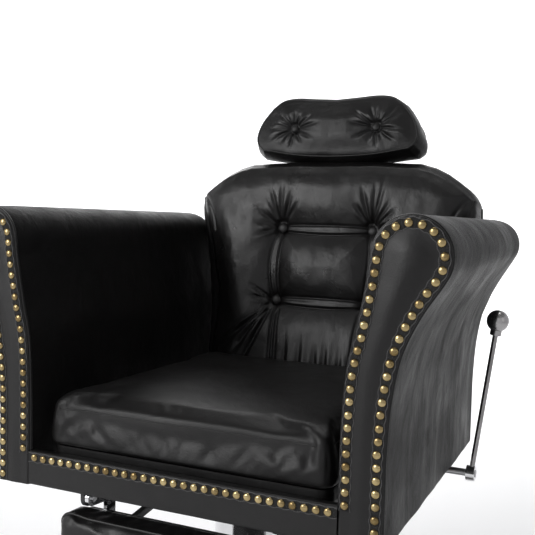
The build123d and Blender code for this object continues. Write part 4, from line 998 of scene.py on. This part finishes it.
def back_cushion():
    """Buttoned cushion: tufted face, boxed sides flaring to the wings, rolled top, wrapped behind."""
    fine = 1.0
    cols, rows = int(330 * fine), int(290 * fine)
    s = np.linspace(-1, 1, cols)
    t = np.linspace(0, 1, rows)
    vtop = across(BACK_CROWN, np.abs(s) * 281) - 5 * (1 - np.abs(s) ** 8)
    v = BACK_FOOT + t[:, None] * (vtop[None] - BACK_FOOT)
    u = s[None] * across(BACK_SEAM, v)
    u = np.where(v > BACK_WING, s[None] * 279, u)
    h = back_relief(u, v)
    rumple = 1.6 * field(u, v, (0.016, 0.016), 3.3) + 0.7 * field(u, v, (0.05, 0.036), 8.8)
    ri, ci = border_loop(rows, cols)
    from_foot, from_side = np.arange(rows)[:, None], np.arange(cols)[None]
    inside = np.minimum(
        np.minimum(from_foot, rows - 1 - from_foot), np.minimum(from_side, cols - 1 - from_side)
    )
    roll = smoothstep(inside / (7 * fine)) ** 0.6
    depth = 14.0 - (h + rumple + 3.0) * roll
    front = on_back(u * MM, v * MM, depth * MM)
    eu, ev, ed = u[ri, ci], v[ri, ci], depth[ri, ci]
    side_flare = np.where(ri > 0, across(BACK_SIDE, ev) - np.abs(eu), 0)
    on_side = ((ci == 0) | (ci == cols - 1)) & (ev <= BACK_WING)
    top = ri == rows - 1
    step_u = np.roll(eu, -1) - np.roll(eu, 1)
    step_v = np.roll(ev, -1) - np.roll(ev, 1)
    norm = np.hypot(step_u, step_v) + 1e-9
    nu, nv = step_v / norm, -step_u / norm
    nu = np.where(on_side, np.sign(eu), nu)
    nv = np.where(on_side, 0, nv)
    out = np.where(on_side, side_flare, np.where(top, 5.0, 0.0))
    out = np.convolve(np.r_[out[-6:], out, out[:6]], np.ones(13) / 13, "valid")
    rings = []
    steps = 34
    wob = field(eu, ev, (0.03, 0.03), 6.1)
    for j in range(1, steps + 1):
        k = j / steps
        at_side = math.sin(min(1, k / 0.28) * math.pi / 2) ** 0.7
        flare = np.where(on_side, at_side, math.sin(min(1, k / 0.2) * math.pi / 2))
        tuckin = 7.0 * smoothstep((k - 0.80) / 0.2)
        swell = 2.2 * math.sin(math.pi * k) * (1 + 0.5 * wob)
        off = out * flare + swell - tuckin
        seam = -2.2 * math.exp(-((k / 0.05) ** 2)) * on_side
        d = ed + (BACK_EDGE_DEPTH - ed) * (k ** np.where(on_side, 1.5, 1.0))
        rings.append(on_back((eu + nu * (off + seam)) * MM, (ev + nv * (off + seam)) * MM, d * MM))
    return closed_shell("back_pad", front, rings, ri, ci)


def covered_button(name, centre, normal, radius, rise):
    """Leather-covered button: a dome with a turned-in rim."""
    profile = [(radius * 0.72, -rise * 1.1), (radius * 0.93, -rise * 0.75), (radius, -rise * 0.25)]
    for a in np.radians([12, 26, 40, 54, 66, 77, 86]):
        profile.append((radius * math.cos(a) ** 0.8, rise * math.sin(a)))
    turn = np.linspace(0, 2 * math.pi, 40, endpoint=False)
    normal = Vector(normal).normalized()
    right = normal.cross(Vector((0, 0, 1))).normalized()
    lift = np.array(right.cross(normal))
    centre, normal, right = np.array(centre), np.array(normal), np.array(right)
    spokes = np.cos(turn)[:, None] * right + np.sin(turn)[:, None] * lift
    pts = np.array([centre + r * spokes + z * normal for r, z in profile])
    return sheet_object(name, pts, close_cols=True, caps=("first", "last"))


finish_piece(back_cushion(), "back", hide, ("back_cushion",))
toward = (0, -LEAN_C, LEAN_S)
made = []
for index, (bu, bv) in enumerate(BUTTONS):
    height = float(back_relief(np.array([bu + 13.0]), np.array([float(bv)]))[0])
    spot = on_back(bu * MM, bv * MM, (13.5 - height) * MM)
    made.append(covered_button(f"tuft{index}", spot, toward, 10.5 * MM, 5.0 * MM))
finish_piece(join("back_tufts", made), "back", hide_tight, ("back_buttons",))


def back_rear():
    """Rear panel of the back: flat upholstered panel with softened edge."""
    grow = -2.0
    cols, rows = 121, 101
    s = np.linspace(-1, 1, cols)
    t = np.linspace(0, 1, rows)
    vtop = across(BACK_CROWN, np.abs(s) * 281) + grow
    v = BACK_FOOT + 2 + t[:, None] * (vtop[None] - BACK_FOOT - 2)
    u = s[None] * (across(BACK_SIDE, v) + grow)
    near = np.minimum.reduce([across(BACK_SIDE, v) + grow - np.abs(u), vtop[None] - v, v - BACK_FOOT - 2])
    d = 96.0 - rounding(near, 5.0) + 1.6 * smoothstep(near / 50) + 0.8 * field(u, v, (0.012, 0.012), 2.2)
    outer = on_back(u * MM, v * MM, d * MM)
    inner = on_back(u * MM, v * MM, 86.3 * MM + 0 * d)
    ri, ci = border_loop(rows, cols)
    verts = np.vstack([outer.reshape(-1, 3), inner.reshape(-1, 3)])
    half = rows * cols
    faces = grid_faces(rows, cols) + grid_faces(rows, cols, base=half)
    rim = (ri * cols + ci).tolist()
    faces += [(a, b, half + b, half + a) for a, b in zip(rim, rim[1:] + rim[:1])]
    return outward(new_object("back_rear", verts, faces)), outer[ri, ci]


rear_panel, rear_loop = back_rear()
finish_piece(rear_panel, "back", hide_tight, ("back_rear_panel",))
rear_line = resample(rear_loop, 1200, closed=True)
rear_welt = tube("back_rear_welt", rear_line, 3.0 * MM, closed=True, up=(0, 1, 0))
finish_piece(rear_welt, "back", welt_leather)


# ---------------------------------------------------------------- boxed pads from a four-sided face
def coons(bottom, right, top, left, cols, rows):
    """Grid over four joined curves: bottom and top run left to right, left and right run upward."""
    b, t = resample(bottom, cols), resample(top, cols)
    l, r = resample(left, rows), resample(right, rows)
    s = np.linspace(0, 1, cols)[None, :, None]
    w = np.linspace(0, 1, rows)[:, None, None]
    ruled = (1 - w) * b[None] + w * t[None] + (1 - s) * l[:, None] + s * r[:, None]
    corners = (1 - s) * (1 - w) * b[0] + s * (1 - w) * b[-1] + (1 - s) * w * t[0] + s * w * t[-1]
    return ruled - corners


def boxed_pad(name, face, height, thick, place, bulge, tuck, sag=0.0, steps=26, edge=9.0):
    """Closed pad in mm: a relief face, sides that bulge between seam and back, and a flat back."""
    rows, cols = face.shape[:2]
    ri, ci = border_loop(rows, cols)
    border = face[ri, ci]
    gap = np.full(face.shape[:2], 1e3)
    for chunk in range(0, rows, 16):
        block = face[chunk : chunk + 16]
        gap[chunk : chunk + 16] = np.linalg.norm(block[:, :, None] - border[None, None], axis=-1).min(-1)
    gap[ri, ci] = 0
    soft = np.clip(gap / edge, 0, 1)
    lift = np.sqrt(np.clip(1 - (1 - soft) ** 2, 0, 1))
    depth = 6.0 * (1 - lift) - height * lift
    points = place(face[..., 0], face[..., 1], depth)
    step = np.roll(border, -1, 0) - np.roll(border, 1, 0)
    step = sum(np.roll(step, shift, 0) for shift in (3, -3, 6, -6, 0)) / 5
    step /= np.linalg.norm(step, axis=1)[:, None] + 1e-9
    out = np.stack([step[:, 1], -step[:, 0]], -1)
    wob = field(border[:, 0], border[:, 1], (0.03, 0.03), 4.4)
    rings = []
    for j in range(1, steps + 1):
        k = j / steps
        off = bulge * math.sin(math.pi * min(1, k * 1.02)) ** 0.75 * (1 + 0.35 * wob)
        off -= tuck * smoothstep((k - 0.75) / 0.25) + 1.6 * math.exp(-((k / 0.06) ** 2))
        spot = border + out * off[:, None]
        if sag:
            low_end = smoothstep((-out[:, 1]) / 0.6)
            spot[:, 1] -= sag * k * low_end
            ears = smoothstep((np.abs(border[:, 0]) - 105) / 50) * smoothstep((452 - border[:, 1]) / 30)
            spot[:, 0] += np.sign(border[:, 0]) * 1.4 * sag * k * ears
        rings.append(place(spot[:, 0], spot[:, 1], 6.0 + (thick - 6.0) * k + 0 * spot[:, 0]))
    return closed_shell(name, points, rings, ri, ci), border


# ---------------------------------------------------------------- headrest
HEAD_BUTTONS = [(-84, 452), (84, 452)]


def head_relief(u, v, gap):
    """Height of the headrest face in mm: puffed, with deep buttons and creases fanning from them."""
    h = 9.0 * smoothstep(gap / 45) + 3.5 * (1 - np.clip(np.abs(u) / 165, 0, 1) ** 2)
    for hub in HEAD_BUTTONS:
        h = h + dimple(u, v, hub, 7.0, 11) + dimple(u, v, hub, 6.5, 32)
    rng = np.random.default_rng(5)
    for side, hub in zip((-1, 1), HEAD_BUTTONS):
        for turn in (8, 38, 66, 88, 112, 134, 158, 184, 212, 238, 262, 292, 330):
            a = math.radians(turn + rng.uniform(-6, 6))
            a = a if side < 0 else math.pi - a
            reach = rng.uniform(44, 66) * (0.7 if abs(math.sin(a)) > 0.8 else 1.0)
            mid = polar(hub, 0.55 * reach, a, rng.normal(0, 3))
            line = (polar(hub, 7, a), mid, polar(hub, reach, a))
            h = h + fold(u, v, line, 3.1, -rng.uniform(2.2, 3.6), (0.08, 0.6))
            lean = a + math.radians(13)
            ridge = (polar(hub, 11, lean), polar(hub, reach * 0.8, lean))
            h = h + fold(u, v, ridge, 3.6, rng.uniform(0.8, 1.7), (0.15, 0.6))
    return h + field(u, v, (0.03, 0.03), 7.7)


def headrest():
    """Headrest cushion: a bone-shaped face with two buttons."""
    foot = smooth_line([(-150, 411), (-78, 400), (0, 396.5), (78, 400), (150, 411)], 20)
    right = smooth_line([(150, 411), (160.5, 421), (164.5, 437), (156, 465), (134, 495)], 20)
    top = smooth_line([(134, 495), (114, 509), (88, 513.5), (45, 511), (0, 508)], 20)
    top = np.vstack([top * [-1, 1], top[::-1][1:]])
    left = right * [-1, 1]
    fine = 1.0
    face = coons(foot, right, top, left, int(300 * fine), int(120 * fine))
    u, v = face[..., 0], face[..., 1]
    loop = resample(np.vstack([foot, right, top[::-1], left[::-1]]), 560)
    gap = np.linalg.norm(face[:, :, None] - loop[None, None], axis=-1).min(-1)
    relief = head_relief(u, v, gap) - 5.0
    return boxed_pad("head_pad", face, relief, 64.0, on_back_mm, 5.5, 3.0, sag=9.0)


head_pad, head_border = headrest()
finish_piece(head_pad, "headrest", hide, ("head_cushion",))
head_line = resample(head_border, 900, closed=True)
seam = on_back(head_line[:, 0] * MM * 1.004, head_line[:, 1] * MM, 6.6 * MM + 0 * head_line[:, 0])
welt("head_seam", seam, 1.9 * MM, "headrest")
made = []
for index, (bu, bv) in enumerate(HEAD_BUTTONS):
    spot = on_back_mm(bu, bv, 4.4)
    made.append(covered_button(f"head_tuft{index}", spot, toward, 8.4 * MM, 4.4 * MM))
finish_piece(join("head_tufts", made), "headrest", hide_tight, ("head_buttons",))


# ---------------------------------------------------------------- leg pad
leg_lo, leg_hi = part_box("leg_cushion")
leg_half = (leg_hi.x - leg_lo.x) / 2 / MM
leg_low, leg_high = leg_lo.z / MM, leg_hi.z / MM
LEG_CORNER = 22.0
leg_rise = (leg_high - leg_low) / 2


def leg_pad():
    """Leg rest cushion: a plain boxed pad, crowned a little."""
    plan = rounded_plan(leg_half, leg_rise, LEG_CORNER, 400)
    turn = np.array([leg_half, leg_rise]) - LEG_CORNER * 0.3
    ring = np.roll(plan, -int(np.argmin(np.abs(plan + turn).sum(1))), 0)
    marks = [0]
    for way in ((1, -1), (1, 1), (-1, 1)):
        marks.append(int(np.argmin(np.linalg.norm(ring - turn * way, axis=1))))
    loops = [ring[a : b + 1] for a, b in zip(marks, marks[1:])]
    loops.append(np.vstack([ring[marks[3] :], ring[:1]]))
    face = coons(loops[0], loops[1], loops[2][::-1], loops[3][::-1], 200, 100)
    border = resample(plan, 900, closed=True)
    gap = np.linalg.norm(face[:, :, None] - border[None, None], axis=-1).min(-1)
    u, v = face[..., 0], face[..., 1]
    h = 5.0 * smoothstep(gap / 60) + 1.2 * field(u, v, (0.014, 0.02), 3.0)
    h += 0.5 * field(u, v, (0.05, 0.08), 5.0)
    mid = (leg_low + leg_high) / 2
    base = leg_lo.y / MM + 4.0

    def place(a, b, d):
        a, b, d = np.broadcast_arrays(a, b, d)
        return np.stack([a, base + d, mid + b], -1) * MM

    return boxed_pad("leg_pad", face, h, (leg_hi.y - leg_lo.y) / MM - 4.0, place, 2.5, 5.0), place


(leg_object, leg_border), leg_place = leg_pad()
stuff(leg_object, lambda p: p[:, 1] > leg_hi.y - 9 * MM, 5 * MM, 5 * MM)
finish_piece(leg_object, "leg_rest", hide, ("leg_cushion",))
leg_line = resample(leg_border, 700, closed=True)
leg_seam = leg_place(leg_line[:, 0] * 1.004, leg_line[:, 1] * 1.006, 6.4 + 0 * leg_line[:, 0])
leg_seam = settle_line(onto(leg_object, leg_seam))
welt("leg_welt", leg_seam, 2.6 * MM, "leg_rest")


# ---------------------------------------------------------------- studio
def studio():
    """Pale round floor carried up all about the chair in one curve, with a painted glow (emission) brightest
    behind it.
    """
    yaw = math.radians(25.08)
    ahead = np.array([-math.sin(yaw), math.cos(yaw)])
    right = np.array([math.cos(yaw), math.sin(yaw)])
    flat_end, radius, top = 4.6, 2.0, 5.6
    line = [(d, 0.0) for d in np.linspace(0.01, flat_end, 30)]
    for a in np.linspace(0.06, math.pi / 2, 24):
        line.append((flat_end + radius * math.sin(a), radius * (1 - math.cos(a))))
    line += [(flat_end + radius, z) for z in np.linspace(radius + 0.3, top, 8)]
    turns = np.linspace(0, 2 * math.pi, 160, endpoint=False)
    pts = np.array([[(d * math.cos(a), d * math.sin(a), z) for a in turns] for d, z in line])
    obj = new_object("studio_floor", pts.reshape(-1, 3), grid_faces(*pts.shape[:2], close_cols=True))
    mat, tree, bsdf = shader("studio_paper_painted_glow")
    bsdf.inputs["Roughness"].default_value = 0.75
    bsdf.inputs["Specular IOR Level"].default_value = 0.2
    bsdf.inputs["Base Color"].default_value = (0.76, 0.76, 0.77, 1)
    bsdf.inputs["Emission Color"].default_value = (1, 1, 1, 1)
    coords = tree.nodes.new("ShaderNodeTexCoord")
    glow = tree.nodes.new("ShaderNodeMath")
    glow.operation = "MULTIPLY"
    # painted glow: the emission grows toward the back of the room and dies out to its right, standing in for
    # lamp light on the backdrop and in the chair's reflections
    for index, (way, ends, values, smooth) in enumerate((
        (ahead, (0.2, 3.0), (0.15, 0.88), "LINEAR"),
        (right, (1.75, 3.6), (1.0, 0.12), "SMOOTHSTEP"),
    )):
        reach = tree.nodes.new("ShaderNodeVectorMath")
        reach.operation = "DOT_PRODUCT"
        reach.inputs[1].default_value = (*way, 0)
        tree.links.new(coords.outputs["Object"], reach.inputs[0])
        spread = tree.nodes.new("ShaderNodeMapRange")
        spread.interpolation_type = smooth
        for socket, value in zip(("From Min", "From Max", "To Min", "To Max"), (*ends, *values)):
            spread.inputs[socket].default_value = value
        tree.links.new(reach.outputs["Value"], spread.inputs["Value"])
        tree.links.new(spread.outputs["Result"], glow.inputs[index])
    tree.links.new(glow.outputs["Value"], bsdf.inputs["Emission Strength"])
    obj.data.materials.append(mat)


def softbox(name, place, aim, width, height, power):
    """Rectangular studio lamp turned to a point."""
    data = bpy.data.lights.new(name, "AREA")
    data.shape = "RECTANGLE"
    data.size, data.size_y = width, height
    data.energy = power
    obj = bpy.data.objects.new(name, data)
    bpy.context.scene.collection.objects.link(obj)
    obj.location = place
    obj.rotation_euler = (Vector(aim) - Vector(place)).to_track_quat("-Z", "Y").to_euler()
    return obj


studio()
softbox("key_left", (-1.55, -2.5, 1.65), (0, 0, 0.75), 1.0, 1.6, 48)
softbox("fill_right", (2.7, -0.9, 1.5), (0.2, 0, 0.7), 0.6, 1.6, 2.0)
softbox("top", (-0.1, 0.5, 3.1), (0, 0, 0.6), 2.0, 1.2, 18)
softbox("rim_back", (-1.4, 2.4, 2.2), (0, 0.2, 0.8), 1.4, 1.2, 12)

world = bpy.data.worlds.new("studio_air")
world.use_nodes = True
world.node_tree.nodes["Background"].inputs["Color"].default_value = (1.0, 1.0, 1.0, 1)
world.node_tree.nodes["Background"].inputs["Strength"].default_value = 0.24
bpy.context.scene.world = world
bpy.context.scene.view_settings.view_transform = "Standard"

# ---------------------------------------------------------------- camera
YAW, PITCH, ROLL = math.radians(25.08), math.radians(3.557), math.radians(1.401)
look = Vector((-math.sin(YAW) * math.cos(PITCH), math.cos(YAW) * math.cos(PITCH), -math.sin(PITCH)))
level = Vector((math.cos(YAW), math.sin(YAW), 0))
rise = level.cross(look)
cam_right = math.cos(ROLL) * level + math.sin(ROLL) * rise
cam_up = -math.sin(ROLL) * level + math.cos(ROLL) * rise
cam_data = bpy.data.cameras.new("camera")
cam_data.lens = 55.79
cam_data.sensor_width = 36
camera = bpy.data.objects.new("camera", cam_data)
bpy.context.scene.collection.objects.link(camera)
camera.matrix_world = Matrix(
    (
        (cam_right.x, cam_up.x, -look.x, 0.5806),
        (cam_right.y, cam_up.y, -look.y, FRONT_Y - 0.945),
        (cam_right.z, cam_up.z, -look.z, SEAT_TOP + 0.2697),
        (0, 0, 0, 1),
    )
)
bpy.context.scene.camera = camera
